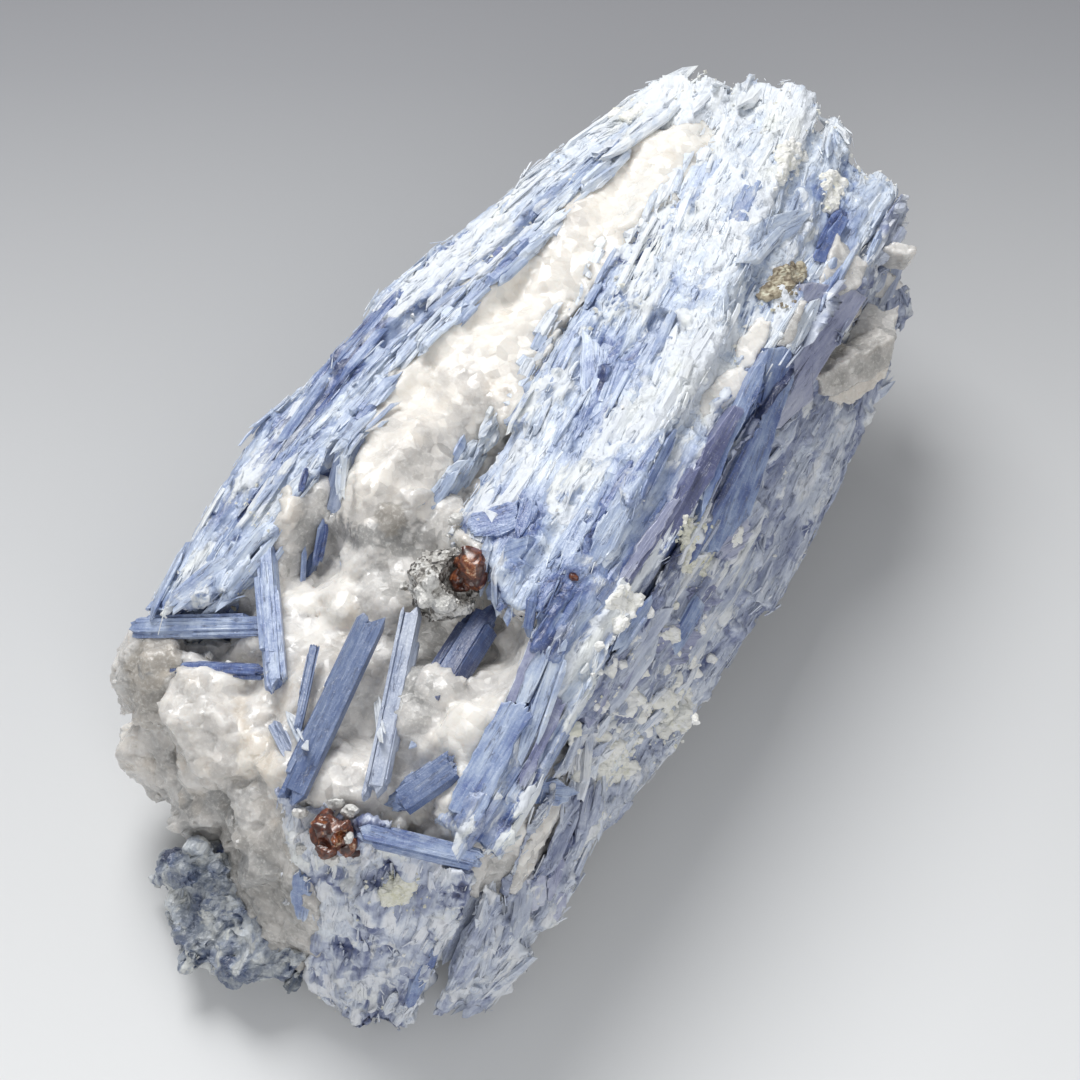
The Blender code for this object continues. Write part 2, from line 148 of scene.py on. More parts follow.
def edge_gap(steps, outline):
    """How many steps within an outline each of these steps is, less than nothing outside it."""
    gap = np.full(len(steps), np.inf)
    inside = np.zeros(len(steps), bool)
    for (ax, ay), (bx, by) in zip(outline, outline[1:] + outline[:1]):
        line = np.array((bx - ax, by - ay), float)
        share = np.clip(((steps - (ax, ay)) @ line) / (line @ line), 0, 1)
        gap = np.minimum(gap, np.linalg.norm(steps - (ax, ay) - share[:, None] * line, axis=1))
        crosses = (ay > steps[:, 1]) != (by > steps[:, 1])
        where = ax + (steps[:, 1] - ay) * (bx - ax) / ((by - ay) or 1e-9)
        inside ^= crosses & (steps[:, 0] < where)
    return np.where(inside, gap, -gap)


# ---- Small arithmetic ---------------------------------------------------------------------------------
def unit(vectors):
    return vectors / np.maximum(np.linalg.norm(vectors, axis=-1, keepdims=True), 1e-12)


def clouds(points, size, seed):
    """Smooth uneven values, -1 to 1, with swells about this many millimetres across."""
    spots = points / size + seed * 31.7
    base = np.floor(spots).astype(np.int64)
    share = spots - base
    share = share * share * (3 - 2 * share)
    total = np.zeros(len(points))
    for corner in itertools.product((0, 1), repeat=3):
        cell = base + corner
        mixed = cell[:, 0] * 73856093 ^ cell[:, 1] * 19349663 ^ cell[:, 2] * 83492791 ^ seed * 2654435761
        mixed = (mixed ^ mixed >> 13) * 1274126177 & 0xFFFFFFFF
        value = ((mixed ^ mixed >> 16) & 0xFFFF) / 32767.5 - 1
        weight = np.prod(np.where(corner, share, 1 - share), axis=1)
        total += value * weight
    return total


def smooth(value, low, high):
    share = np.clip((value - low) / (high - low), 0, 1)
    return share * share * (3 - 2 * share)


# ---- How the blades grew: each line is its low end, half way and its upper end ------------------------
GROWTH = {
    "left_sheaf": (
        ((-24.0, -31.5, 26.0), (-24.6, 8.0, 28.5), (-12.5, 53.5, 29.0)),
        ((-17.5, -23.5, 30.5), (-13.0, 11.0, 33.5), (-5.0, 54.5, 32.5)),
        ((-19.5, -27.0, 8.0), (-20.5, 8.0, 6.0), (-9.5, 49.0, 8.0)),
    ),
    "main_sheaf": (
        ((-1.5, -12.0, 34.0), (-2.5, 18.0, 35.0), (-7.5, 54.0, 31.5)),
        ((14.0, -17.5, 37.5), (13.5, 16.0, 39.0), (6.0, 56.0, 33.5)),
        ((14.0, -36.5, 30.5), (12.0, 4.0, 38.5), (4.5, 56.0, 33.5)),
        ((20.8, -36.5, 29.0), (21.0, 6.0, 34.5), (18.3, 54.0, 28.5)),
    ),
    "right_sheaf": (
        ((20.3, -33.0, 29.0), (20.5, 8.0, 34.5), (18.2, 52.5, 28.5)),
        ((23.2, -24.0, 7.5), (28.0, 6.0, 9.5), (23.8, 50.0, 14.0)),
        ((18.4, -47.2, 8.0), (19.4, -43.0, 17.0), (20.8, -32.0, 29.5)),
        ((22.6, -42.5, 4.0), (25.0, -33.5, 8.0), (24.0, -21.5, 14.0)),
    ),
    "front_fan": (
        ((6.5, -51.5, 4.0), (2.5, -48.0, 16.0), (-0.5, -43.0, 28.0)),
        ((11.0, -51.5, 3.0), (10.0, -48.0, 16.0), (9.0, -42.0, 29.0)),
        ((15.5, -50.5, 3.0), (18.3, -45.5, 17.0), (18.5, -39.0, 30.0)),
    ),
}
GROWTH_STEPS = 13
GROWTH_REACH = 3.0  # millimetres over which one growth line gives way to the next


def growth_of(node, spots):
    """At each spot: the way that the blades run, and its place if all of them were straightened.

    The straightened place is (along the growth, across, up), in millimetres.
    """
    if node not in GROWTH:
        swirl = np.stack([clouds(spots, 7.0, seed) for seed in (41, 42, 43)], axis=1)
        return unit(swirl + 0.05), spots[:, (1, 0, 2)]
    t = np.linspace(0, 1, GROWTH_STEPS)[:, None]
    way = np.zeros_like(spots)
    straight = np.zeros_like(spots)
    weights = np.zeros(len(spots))
    for low, middle, high in np.array(GROWTH[node]) + SETTLED:
        places = low * (1 - t) * (1 - 2 * t) + middle * 4 * t * (1 - t) + high * t * (2 * t - 1)
        ways = unit(low * (4 * t - 3) + middle * (4 - 8 * t) + high * (4 * t - 1))
        gaps = np.linalg.norm(spots[:, None] - places[None], axis=2)
        near = gaps.argmin(axis=1)
        offset = spots - places[near]
        ahead = (offset * ways[near]).sum(axis=1)
        length = np.linalg.norm(high - low)
        weight = 1 / (gaps.min(axis=1) ** 2 + GROWTH_REACH**2) ** 2
        aside = offset - ways[near] * ahead[:, None] + middle
        travelled = t[near, 0] * length + ahead
        way += ways[near] * weight[:, None]
        above = aside[:, 2] + aside[:, 1] * 0.3
        straight += np.stack([travelled, aside[:, 0], above], axis=1) * weight[:, None]
        weights += weight
    return unit(way), straight / weights[:, None]


# ---- Where blades take root ---------------------------------------------------------------------------
OPEN_REACH = 1.0  # millimetres out of the ground that a spot must be clear of other solids
SPREAD_SPOTS = 6000
BATCH = 1000


class Ground:
    """The open ground of some nodes: spots on it, spread evenly by area."""

    def __init__(self, nodes):
        parts = [skin(node) for node in nodes]
        self.corners, self.outs, self.areas = (np.concatenate(column) for column in zip(*parts))
        self.area = self.areas.sum()
        self.spread, self.spread_outs = self.anywhere(SPREAD_SPOTS, np.random.default_rng(1))

    def anywhere(self, count, rng):
        chosen = rng.choice(len(self.areas), size=count, p=self.areas / self.area)
        a, b = rng.random((2, count, 1))
        over = a + b > 1
        a, b = np.where(over, 1 - a, a), np.where(over, 1 - b, b)
        first, second, third = (self.corners[chosen, k] for k in range(3))
        return first + (second - first) * a + (third - first) * b, self.outs[chosen]

    def scatter(self, count, rng):
        """Spots with no other solid close over them, and the ways out there."""
        spots, outs = self.anywhere(count, rng)
        starts = spots + outs * 0.05
        rays = zip(starts, outs)
        hits = [SOLIDS.ray_cast(Vector(start), Vector(out), OPEN_REACH)[0] for start, out in rays]
        free = np.array([hit is None for hit in hits])
        return spots[free], outs[free]

    def bare(self, count, rng, under):
        """Open spots that lie less than this much under a layer."""
        spots, outs = self.scatter(count, rng)
        clear = covered(spots) < under
        return spots[clear], outs[clear]

    def eased(self, spots, reach):
        """The way out of the ground at these spots, evened over this many millimetres."""
        eased = np.empty_like(spots)
        for start in range(0, len(spots), BATCH):
            part = spots[start : start + BATCH]
            gaps = ((part[:, None] - self.spread[None]) ** 2).sum(axis=2)
            eased[start : start + BATCH] = np.exp(-gaps / (reach * reach)) @ self.spread_outs
        return unit(eased)


# ---- Blades as meshes ---------------------------------------------------------------------------------
WIDE_SECTION = np.array(((-1, -0.1), (-0.72, 1), (0.66, 1), (1, 0.1), (0.7, -1), (-0.7, -1)))
SLIM_SECTION = np.array(((-1, -0.7), (-0.75, 1), (0.85, 0.75), (1, -0.8)))


def blade_faces(count, rings, corners):
    faces = []
    for ring in range(rings - 1):
        for k in range(corners):
            after = (k + 1) % corners
            low, high = ring * corners, (ring + 1) * corners
            faces.append((low + k, low + after, high + after, high + k))
    top = (rings - 1) * corners
    if corners == 6:
        faces += [(0, 5, 4, 3), (0, 3, 2, 1)]
        faces += [(top, top + 1, top + 2, top + 3), (top, top + 3, top + 4, top + 5)]
    else:
        faces += [(0, 3, 2, 1), (top, top + 1, top + 2, top + 3)]
    offsets = np.arange(count)[:, None, None] * rings * corners
    return (np.array(faces)[None] + offsets).reshape(-1, 4)


# Where a blade's rings of corners are along it, as shares of its length.
PLAIN = (-0.5, 0.5)
TAPERED = (-0.5, -0.33, 0.33, 0.5)
BLUNT = (-0.5, -0.47, 0.47, 0.5)


def blades(
    middles,
    ways,
    faces,
    lengths,
    widths,
    depths,
    rng,
    tone,
    chalk,
    section,
    rings,
    fray=0.5,
    dips=0.0,
    rims=0.15,
):
    """Flat splintered blades. tone is 0 for pale to 1 for deep blue, chalk 0 for clean to 1 for crusted."""
    count, corners = len(middles), len(section)
    ways = unit(ways)
    sides = unit(np.cross(ways, faces))
    ups = np.cross(sides, ways)
    t = np.array(rings)
    rings = len(t)
    ends = np.abs(2 * t) > 0.99
    narrowing = np.where(ends, rng.uniform(0.12, 0.9, (count, rings)), rng.uniform(0.85, 1.1, (count, rings)))
    half = widths[:, None] / 2 * narrowing
    deep = depths[:, None] / 2 * (0.55 + 0.45 * narrowing)
    bow = rng.normal(0, 0.018, (count, 1)) * lengths[:, None] * (1 - 4 * t * t)
    sway = rng.normal(0, 0.012, (count, 1)) * lengths[:, None] * (1 - 4 * t * t)
    slant = rng.uniform(-1.4, 1.4, (count, rings)) * ends
    a = section[None, None, :, 0] * half[:, :, None]
    b = section[None, None, :, 1] * deep[:, :, None]
    ragged = rng.uniform(-fray, fray, (count, rings, corners)) * widths[:, None, None] * ends[None, :, None]
    along = t[None, :, None] * lengths[:, None, None] + slant[:, :, None] * a + ragged
    across = a + sway[:, :, None]
    dipped = ends * rng.choice((0.0, 1.0), (count, rings), p=(0.3, 0.7)) * dips
    over = b + bow[:, :, None] - dipped[:, :, None]
    places = (
        middles[:, None, None]
        + ways[:, None, None] * along[..., None]
        + sides[:, None, None] * across[..., None]
        + ups[:, None, None] * over[..., None]
    )
    own = rng.uniform(0, 90, count)[:, None, None]
    grain = np.stack([along + own * 3, a, own + b], axis=-1)
    pale = np.maximum(np.abs(section[None, None, :, 0]) ** 3 * rims, ends[None, :, None] * rims * 2.2)
    look = np.stack(np.broadcast_arrays(tone[:, None, None], chalk[:, None, None], pale, a)[:3], axis=-1)
    places, grain, look = (values.reshape(-1, 3) for values in (places, grain, look))
    return places, blade_faces(count, rings, corners), grain, look


def one_blade(middle, way, face, size, rng, tone, chalk, rings, fray, rims=0.15):
    """A single blade of this length, width and depth."""
    shape = (np.array([value]) for value in (middle, way, face, *size))
    look = (np.array([value]) for value in (tone, chalk))
    return blades(*shape, rng, *look, WIDE_SECTION, rings, fray, rims=rims)


def joined(parts):
    places, faces, grains, looks = zip(*parts)
    starts = np.cumsum([0] + [len(part) for part in places[:-1]])
    faces = [part + start for part, start in zip(faces, starts)]
    return np.concatenate(places), np.concatenate(faces), np.concatenate(grains), np.concatenate(looks)


FLOOR_CLEARANCE = 0.12


def piece(name, parts, material, nodes, shade_smooth=False):
    """One piece of the visual model, from the parts that make it, riding on the cluster."""
    places, faces, grain, look = joined(parts)
    places[:, 2] = np.maximum(places[:, 2], FLOOR_CLEARANCE)
    mesh = bpy.data.meshes.new(name)
    mesh.from_pydata((places * MM).astype(np.float32), [], faces.astype(np.int32))
    for kind, values in (("grain", grain), ("look", look)):
        attribute = mesh.attributes.new(kind, "FLOAT_VECTOR", "POINT")
        attribute.data.foreach_set("vector", values.astype(np.float32).ravel())
    mesh.polygons.foreach_set("use_smooth", np.full(len(faces), shade_smooth))
    mesh.materials.append(material)
    mesh.validate()
    made = bpy.data.objects.new(name, mesh)
    bpy.context.scene.collection.objects.link(made)
    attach(made, "root")
    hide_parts(*nodes)


# ---- Rough bodies -------------------------------------------------------------------------------------
def remeshed(node, voxel, parts):
    """The node's solid, if any, and these closed parts, grown together: places, ways out and faces."""
    shape = bmesh.new()
    if node:
        shape.from_mesh(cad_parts[node].data)
        bmesh.ops.remove_doubles(shape, verts=shape.verts, dist=1e-6)
    if parts:
        spots, shells = joined(parts)[:2]
        extra = bpy.data.meshes.new("parts")
        extra.from_pydata((spots * MM).astype(np.float32), [], shells.astype(np.int32))
        shape.from_mesh(extra)
        bpy.data.meshes.remove(extra)
    mesh = bpy.data.meshes.new("remeshing")
    shape.to_mesh(mesh)
    shape.free()
    helper = bpy.data.objects.new("remeshing", mesh)
    bpy.context.scene.collection.objects.link(helper)
    step = helper.modifiers.new("even", "REMESH")
    step.mode = "VOXEL"
    step.voxel_size = voxel * MM
    graph = bpy.context.evaluated_depsgraph_get()
    made = bpy.data.meshes.new_from_object(helper.evaluated_get(graph))
    bpy.data.objects.remove(helper)
    places = np.empty(len(made.vertices) * 3, np.float32)
    made.vertices.foreach_get("co", places)
    normals = np.empty(len(made.vertices) * 3, np.float32)
    made.vertex_normals.foreach_get("vector", normals)
    corners = np.empty(len(made.loops), np.int32)
    made.loops.foreach_get("vertex_index", corners)
    bpy.data.meshes.remove(made)
    bpy.data.meshes.remove(mesh)
    places, normals = (values.reshape(-1, 3).astype(float) for values in (places, normals))
    return places / MM, normals, corners.reshape(-1, 4)


def lifted(body, heights, look):
    """A part from an even skin, with its places lifted by these heights."""
    places, normals, faces = body
    return places + normals * heights[:, None], faces, places, look


def look_of(tone, crust):
    return np.stack(np.broadcast_arrays(tone, crust, 0.0), axis=1)


def looks_of(parts, places, reach):
    """The look of the nearest of these parts at each place, and how near it is: 1 on it, 0 beyond reach."""
    spots, _, _, looks = joined(parts)
    tree = KDTree(len(spots))
    for i, spot in enumerate(spots):
        tree.insert(spot, i)
    tree.balance()
    found = [tree.find(place)[1:] for place in places]
    nearest = np.array([index for index, _ in found])
    gap = np.array([gap for _, gap in found])
    return looks[nearest], 1 - smooth(gap, reach * 0.5, reach)


def cleft(places, size, seed, steps=0.5, tilts=0.35):
    """A surface broken into flat cells: its heights, about -1 to 1, and how far they lie from a cell's edge."""
    rng = np.random.default_rng(seed)
    scaled = places / np.array(size)
    crowd = len(places) / max(1.0, len(np.unique(np.floor(scaled).astype(int), axis=0)) * 1.6)
    chosen = rng.permutation(len(places))[:: max(1, int(crowd))]
    seeds = scaled[chosen] + rng.uniform(-0.2, 0.2, (len(chosen), 3))
    tree = KDTree(len(seeds))
    for i, seed_place in enumerate(seeds):
        tree.insert(seed_place, i)
    tree.balance()
    found = [tree.find_n(spot, 2) for spot in scaled]
    nearest = np.array([pair[0][1] for pair in found])
    edge = np.array([pair[1][2] - pair[0][2] for pair in found])
    tilt = unit(rng.normal(size=(len(seeds), 3)))[nearest]
    step = rng.uniform(-1, 1, len(seeds))[nearest]
    return step * steps + ((scaled - seeds[nearest]) * tilt).sum(axis=1) * tilts * 2, edge


# ---- Finishes -----------------------------------------------------------------------------------------
def linear(hex_colour):
    channels = []
    for start in (0, 2, 4):
        value = int(hex_colour[start : start + 2], 16) / 255
        channels.append(value / 12.92 if value <= 0.04045 else ((value + 0.055) / 1.055) ** 2.4)
    return (*channels, 1.0)


def add(tree, kind, inputs=None, **settings):
    """Adds a node: its settings, then its sockets, each with a value, an output or a node."""
    node = tree.nodes.new("ShaderNode" + kind)
    for name, value in settings.items():
        setattr(node, name, value)
    for socket, value in (inputs or {}).items():
        if isinstance(value, bpy.types.Node):
            value = value.outputs[0]
        if isinstance(value, bpy.types.NodeSocket):
            tree.links.new(value, node.inputs[socket])
        else:
            node.inputs[socket].default_value = value
    return node


def finish(name):
    """An empty material and its tree."""
    material = bpy.data.materials.new(name)
    material.use_nodes = True
    material.node_tree.nodes.clear()
    return material, material.node_tree


def banded(ramp, stops):
    """Sets a ramp's stops, each (place, colour)."""
    elements = ramp.color_ramp.elements
    while len(elements) > 1:
        elements.remove(elements[-1])
    elements[0].position = stops[0][0]
    elements[0].color = linear(stops[0][1])
    for place, colour in stops[1:]:
        elements.new(place).color = linear(colour)


KYANITE_BLUES = (
    (0.0, "E6EAEF"), (0.20, "D6DFEA"), (0.40, "B4C2D9"),
    (0.60, "889ABF"), (0.80, "566A9F"), (1.00, "323F6B"),
)


def cleaved_kyanite(name, blues, chalk_colour, swing):
    """Kyanite, cleaved: glassy to pearly blades, streaked along their length, pale where they are broken."""
    material, tree = finish(name)
    grain = add(tree, "Attribute", attribute_name="grain").outputs["Vector"]
    look = add(tree, "SeparateXYZ", {0: add(tree, "Attribute", attribute_name="look").outputs["Vector"]})
    place = add(tree, "TexCoord").outputs["Object"]
    # Growth streaks are about 0.7 mm wide and 6 mm long, fibres 0.2 mm by 2 mm, and mottling about 1 mm.
    streak_place = add(tree, "VectorMath", {0: grain, 1: (0.16, 1.4, 1.4)}, operation="MULTIPLY")
    streaks = add(
        tree,
        "TexNoise",
        {"Vector": streak_place, "Scale": 1.0, "Detail": 4.0, "Roughness": 0.62, "Distortion": 0.6},
    )
    fibre_place = add(tree, "VectorMath", {0: grain, 1: (0.6, 5.0, 5.0)}, operation="MULTIPLY")
    fibres = add(tree, "TexNoise", {"Vector": fibre_place, "Scale": 1.0, "Detail": 2.0, "Roughness": 0.6})
    # The clouds and the frost are drawn out along the cluster, as the crystals are.
    drawn = add(tree, "VectorMath", {0: place, 1: (1.0, 0.40, 1.0)}, operation="MULTIPLY").outputs[0]
    mottle = add(tree, "TexNoise", {"Vector": drawn, "Scale": 950.0, "Detail": 4.0, "Roughness": 0.65})
    cloud = add(
        tree,
        "TexNoise",
        {"Vector": drawn, "Scale": 330.0, "Detail": 5.0, "Roughness": 0.6, "Distortion": 0.5},
    )
    tone = -1.15
    for pattern, share in ((streaks, 0.75), (fibres, 0.25), (mottle, 0.5), (cloud, 0.8)):
        tone = add(tree, "Math", {0: pattern, 1: share, 2: tone}, operation="MULTIPLY_ADD")
    tone = add(tree, "Math", {0: tone, 1: swing, 2: look.outputs[0]}, operation="MULTIPLY_ADD")
    tone = add(tree, "Math", {0: look.outputs[2], 1: -0.30, 2: tone}, operation="MULTIPLY_ADD")
    ramp = add(tree, "ValToRGB", {0: tone})
    banded(ramp, blues)
    # Cracks along the growth, about 0.1 mm wide, are painted a dark grey-blue shade, and parting across it
    # shows as thin white lines.
    split_place = add(tree, "VectorMath", {0: grain, 1: (0.20, 1.9, 1.9)}, operation="MULTIPLY")
    splits = add(
        tree,
        "TexNoise",
        {"Vector": split_place, "Scale": 1.0, "Detail": 3.0, "Roughness": 0.55, "Distortion": 0.4},
    )
    near = add(tree, "Math", {0: splits, 1: 0.43}, operation="SUBTRACT")
    near = add(tree, "Math", {0: near}, operation="ABSOLUTE")
    dark = add(tree, "MapRange", {0: near, 1: 0.005, 2: 0.020, 3: 1.0, 4: 0.0})
    some = add(tree, "MapRange", {0: mottle, 1: 0.44, 2: 0.56, 3: 0.0, 4: 0.8})
    dark = add(tree, "Math", {0: dark, 1: some}, operation="MULTIPLY")
    # The dark grey-blue mixed in along the cracks is painted shade.
    colour = add(tree, "Mix", {0: dark, 6: ramp, 7: linear("6A7188")}, data_type="RGBA")
    crack_place = add(tree, "VectorMath", {0: grain, 1: (1.3, 0.5, 0.5)}, operation="MULTIPLY")
    cracks = add(tree, "TexNoise", {"Vector": crack_place, "Scale": 1.0, "Detail": 3.0, "Roughness": 0.7})
    line = add(tree, "Math", {0: cracks, 1: 0.5}, operation="SUBTRACT")
    line = add(tree, "Math", {0: line}, operation="ABSOLUTE")
    line = add(tree, "MapRange", {0: line, 1: 0.0, 2: 0.012, 3: 0.3 * swing, 4: 0.0})
    colour = add(tree, "Mix", {0: line, 6: colour.outputs[2], 7: linear("E6EAF3")}, data_type="RGBA")
    # A frost of fine white flakes with ragged edges, 0.3 to 3 mm across, lies on it in patches.
    flakes = add(
        tree,
        "TexNoise",
        {"Vector": drawn, "Scale": 560.0, "Detail": 6.0, "Roughness": 0.62, "Distortion": 0.8},
    )
    specks = add(tree, "TexNoise", {"Vector": place, "Scale": 2400.0, "Detail": 3.0, "Roughness": 0.7})
    wanted = add(tree, "Math", {0: look.outputs[1], 1: 0.60, 2: flakes}, operation="MULTIPLY_ADD")
    wanted = add(tree, "Math", {0: streaks, 1: 0.35, 2: wanted}, operation="MULTIPLY_ADD")
    haze = add(tree, "MapRange", {0: wanted, 1: 0.66, 2: 0.95, 3: 0.0, 4: 0.7})
    colour = add(tree, "Mix", {0: haze, 6: colour.outputs[2], 7: linear("DCE4EE")}, data_type="RGBA")
    frost = add(tree, "MapRange", {0: wanted, 1: 0.81, 2: 0.90, 3: 0.0, 4: 0.82})
    whites = add(tree, "ValToRGB", {0: cloud})
    banded(whites, ((0.30, "EDEFE9"), (0.50, chalk_colour), (0.70, "E6ECF3")))
    colour = add(tree, "Mix", {0: frost, 6: colour.outputs[2], 7: whites}, data_type="RGBA")
    gloss = add(tree, "MapRange", {0: frost, 1: 0.0, 2: 1.0, 3: 0.33, 4: 0.7})
    relief = streaks
    for pattern, share in ((fibres, 0.4), (specks, 0.5), (frost, 0.6), (dark, -0.6)):
        relief = add(tree, "Math", {0: pattern, 1: share, 2: relief}, operation="MULTIPLY_ADD")
    bump = add(tree, "Bump", {"Height": relief, "Strength": 0.6, "Distance": 0.0003})
    surface = {"Base Color": colour.outputs[2], "Roughness": gloss, "Normal": bump, "IOR": 1.72}
    add(tree, "OutputMaterial", {"Surface": add(tree, "BsdfPrincipled", surface)})
    return material


def milky_quartz(name):
    """Massive milky quartz, broken: sugary and cloudy, with small glassy faces that catch the light."""
    material, tree = finish(name)
    place = add(tree, "TexCoord").outputs["Object"]
    look = add(tree, "SeparateXYZ", {0: add(tree, "Attribute", attribute_name="look").outputs["Vector"]})
    veils = add(tree, "TexNoise", {"Vector": place, "Scale": 330.0, "Detail": 5.0, "Roughness": 0.65})
    sugar = add(tree, "TexNoise", {"Vector": place, "Scale": 2600.0, "Detail": 3.0, "Roughness": 0.7})
    # Conchoidal chips are flat faces about 1 mm across, each tilted its own way.
    grains = add(tree, "TexVoronoi", {"Vector": place, "Scale": 850.0})
    faces = add(tree, "SeparateXYZ", {0: grains.outputs["Color"]})
    apart = add(tree, "VectorMath", {0: place, 1: grains.outputs["Position"]}, operation="SUBTRACT")
    tilt = add(tree, "VectorMath", {0: grains.outputs["Color"], 1: (0.5, 0.5, 0.5)}, operation="SUBTRACT")
    chips = add(tree, "VectorMath", {0: apart, 1: tilt}, operation="DOT_PRODUCT")
    rough = add(tree, "Math", {0: sugar, 1: 0.0001}, operation="MULTIPLY")
    relief = add(tree, "Math", {0: chips.outputs["Value"], 1: 0.9, 2: rough}, operation="MULTIPLY_ADD")
    clouded = add(tree, "Math", {0: veils, 1: 0.6, 2: 0.16}, operation="MULTIPLY_ADD")
    clouded = add(tree, "Math", {0: look.outputs[0], 1: 0.8, 2: clouded}, operation="MULTIPLY_ADD")
    clouded = add(tree, "Math", {0: faces.outputs[0], 1: 0.12, 2: clouded}, operation="MULTIPLY_ADD")
    ramp = add(tree, "ValToRGB", {0: clouded})
    banded(ramp, ((0.24, "A09F9D"), (0.40, "C2C0BD"), (0.56, "D9D6D2"), (0.76, "EDE9E2"), (1.0, "F5F1EA")))
    # Iron from the weathered side warms it in patches.
    stain = add(tree, "MapRange", {0: look.outputs[1], 1: 0.0, 2: 1.0, 3: 0.0, 4: 0.75})
    warm = add(tree, "Mix", {0: stain, 6: ramp, 7: linear("DCCBB2")}, data_type="RGBA")
    whiter = add(tree, "MapRange", {0: sugar, 1: 0.50, 2: 0.72, 3: 0.0, 4: 0.5})
    colour = add(tree, "Mix", {0: whiter, 6: warm.outputs[2], 7: linear("F3F1EC")}, data_type="RGBA")
    gloss = add(tree, "MapRange", {0: faces.outputs[1], 1: 0.0, 2: 1.0, 3: 0.14, 4: 0.50})
    bump = add(tree, "Bump", {"Height": relief, "Strength": 0.6, "Distance": 1.0})
    shader = add(
        tree,
        "BsdfPrincipled",
        {
            "Base Color": colour.outputs[2],
            "Roughness": gloss,
            "Normal": bump,
            "IOR": 1.544,
            "Subsurface Weight": 0.65,
            "Subsurface Radius": (1.0, 0.92, 0.85),
            "Subsurface Scale": 0.0014,
        },
    )
    add(tree, "OutputMaterial", {"Surface": shader})
    return material


def almandine(name):
    """Almandine garnet, broken: resinous red-brown glass, with painted orange to pale glints on single facets.
    """
    material, tree = finish(name)
    place = add(tree, "TexCoord").outputs["Object"]
    cloud = add(tree, "TexNoise", {"Vector": place, "Scale": 1100.0, "Detail": 5.0, "Roughness": 0.75})
    chips = add(tree, "TexVoronoi", {"Vector": place, "Scale": 800.0})
    # Each facet is raised by its own random amount toward orange and pale: painted glints over the garnet's own
    # red-brown mottle.
    glint_tone = add(tree, "SeparateXYZ", {0: chips.outputs["Color"]})
    glint_tone = add(tree, "Math", {0: glint_tone, 1: 0.22, 2: cloud}, operation="MULTIPLY_ADD")
    ramp = add(tree, "ValToRGB", {0: glint_tone})
    banded(ramp, ((0.40, "280F0B"), (0.56, "4A2012"), (0.66, "6E371E"), (0.75, "9A5F39"), (0.82, "D8BCA0")))
    apart = add(tree, "VectorMath", {0: place, 1: chips.outputs["Position"]}, operation="SUBTRACT")
    tilt = add(tree, "VectorMath", {0: chips.outputs["Color"], 1: (0.5, 0.5, 0.5)}, operation="SUBTRACT")
    facets = add(tree, "VectorMath", {0: apart, 1: tilt}, operation="DOT_PRODUCT")
    bump = add(tree, "Bump", {"Height": facets.outputs["Value"], "Strength": 0.8, "Distance": 1.0})
    shader = add(
        tree,
        "BsdfPrincipled",
        {
            "Base Color": ramp,
            "Roughness": 0.32,
            "Normal": bump,
            "IOR": 1.79,
            "Subsurface Weight": 0.1,
            "Subsurface Radius": (1.0, 0.4, 0.2),
            "Subsurface Scale": 0.0008,
        },
    )
    add(tree, "OutputMaterial", {"Surface": shader})
    return material


def mica_crust(name):
    """Fine mica and weathered feldspar: white and silver flakes with black specks."""
    material, tree = finish(name)
    place = add(tree, "TexCoord").outputs["Object"]
    flakes = add(tree, "TexVoronoi", {"Vector": place, "Scale": 2600.0})
    shade = add(tree, "SeparateXYZ", {0: flakes.outputs["Color"]})
    look = add(tree, "SeparateXYZ", {0: add(tree, "Attribute", attribute_name="look").outputs["Vector"]})
    patches = add(tree, "TexNoise", {"Vector": place, "Scale": 700.0, "Detail": 4.0, "Roughness": 0.65})
    shade = add(tree, "Math", {0: patches, 1: 1.6, 2: shade}, operation="MULTIPLY_ADD")
    shade = add(tree, "Math", {0: shade, 1: 0.5, 2: look.outputs[0]}, operation="MULTIPLY_ADD")
    ramp = add(tree, "ValToRGB", {0: shade})
    banded(ramp, ((0.30, "3F3D3C"), (0.48, "76726D"), (0.62, "B4B1AB"), (0.85, "DEDDD9")))
    bump = add(tree, "Bump", {"Height": flakes.outputs["Distance"], "Strength": 0.8, "Distance": 0.0003})
    surface = {"Base Color": ramp, "Roughness": 0.45, "Normal": bump, "IOR": 1.58}
    add(tree, "OutputMaterial", {"Surface": add(tree, "BsdfPrincipled", surface)})
    return material


def weathered_feldspar(name):
    """Feldspar and fine quartz, weathered: chalky white crumbs, cream to rust where iron has stained them."""
    material, tree = finish(name)
    place = add(tree, "TexCoord").outputs["Object"]
    look = add(tree, "SeparateXYZ", {0: add(tree, "Attribute", attribute_name="look").outputs["Vector"]})
    mottle = add(tree, "TexNoise", {"Vector": place, "Scale": 1200.0, "Detail": 3.0, "Roughness": 0.65})
    stain = add(tree, "Math", {0: mottle, 1: 0.35, 2: look.outputs[1]}, operation="MULTIPLY_ADD")
    ramp = add(tree, "ValToRGB", {0: stain})
    banded(ramp, ((0.15, "ECECEA"), (0.40, "E6E5DC"), (0.65, "D9D8C2"), (0.85, "AFA58F"), (1.0, "7D715F")))
    bump = add(tree, "Bump", {"Height": mottle, "Strength": 0.5, "Distance": 0.0002})
    surface = {"Base Color": ramp, "Roughness": 0.6, "Normal": bump, "IOR": 1.53}
    add(tree, "OutputMaterial", {"Surface": add(tree, "BsdfPrincipled", surface)})
    return material


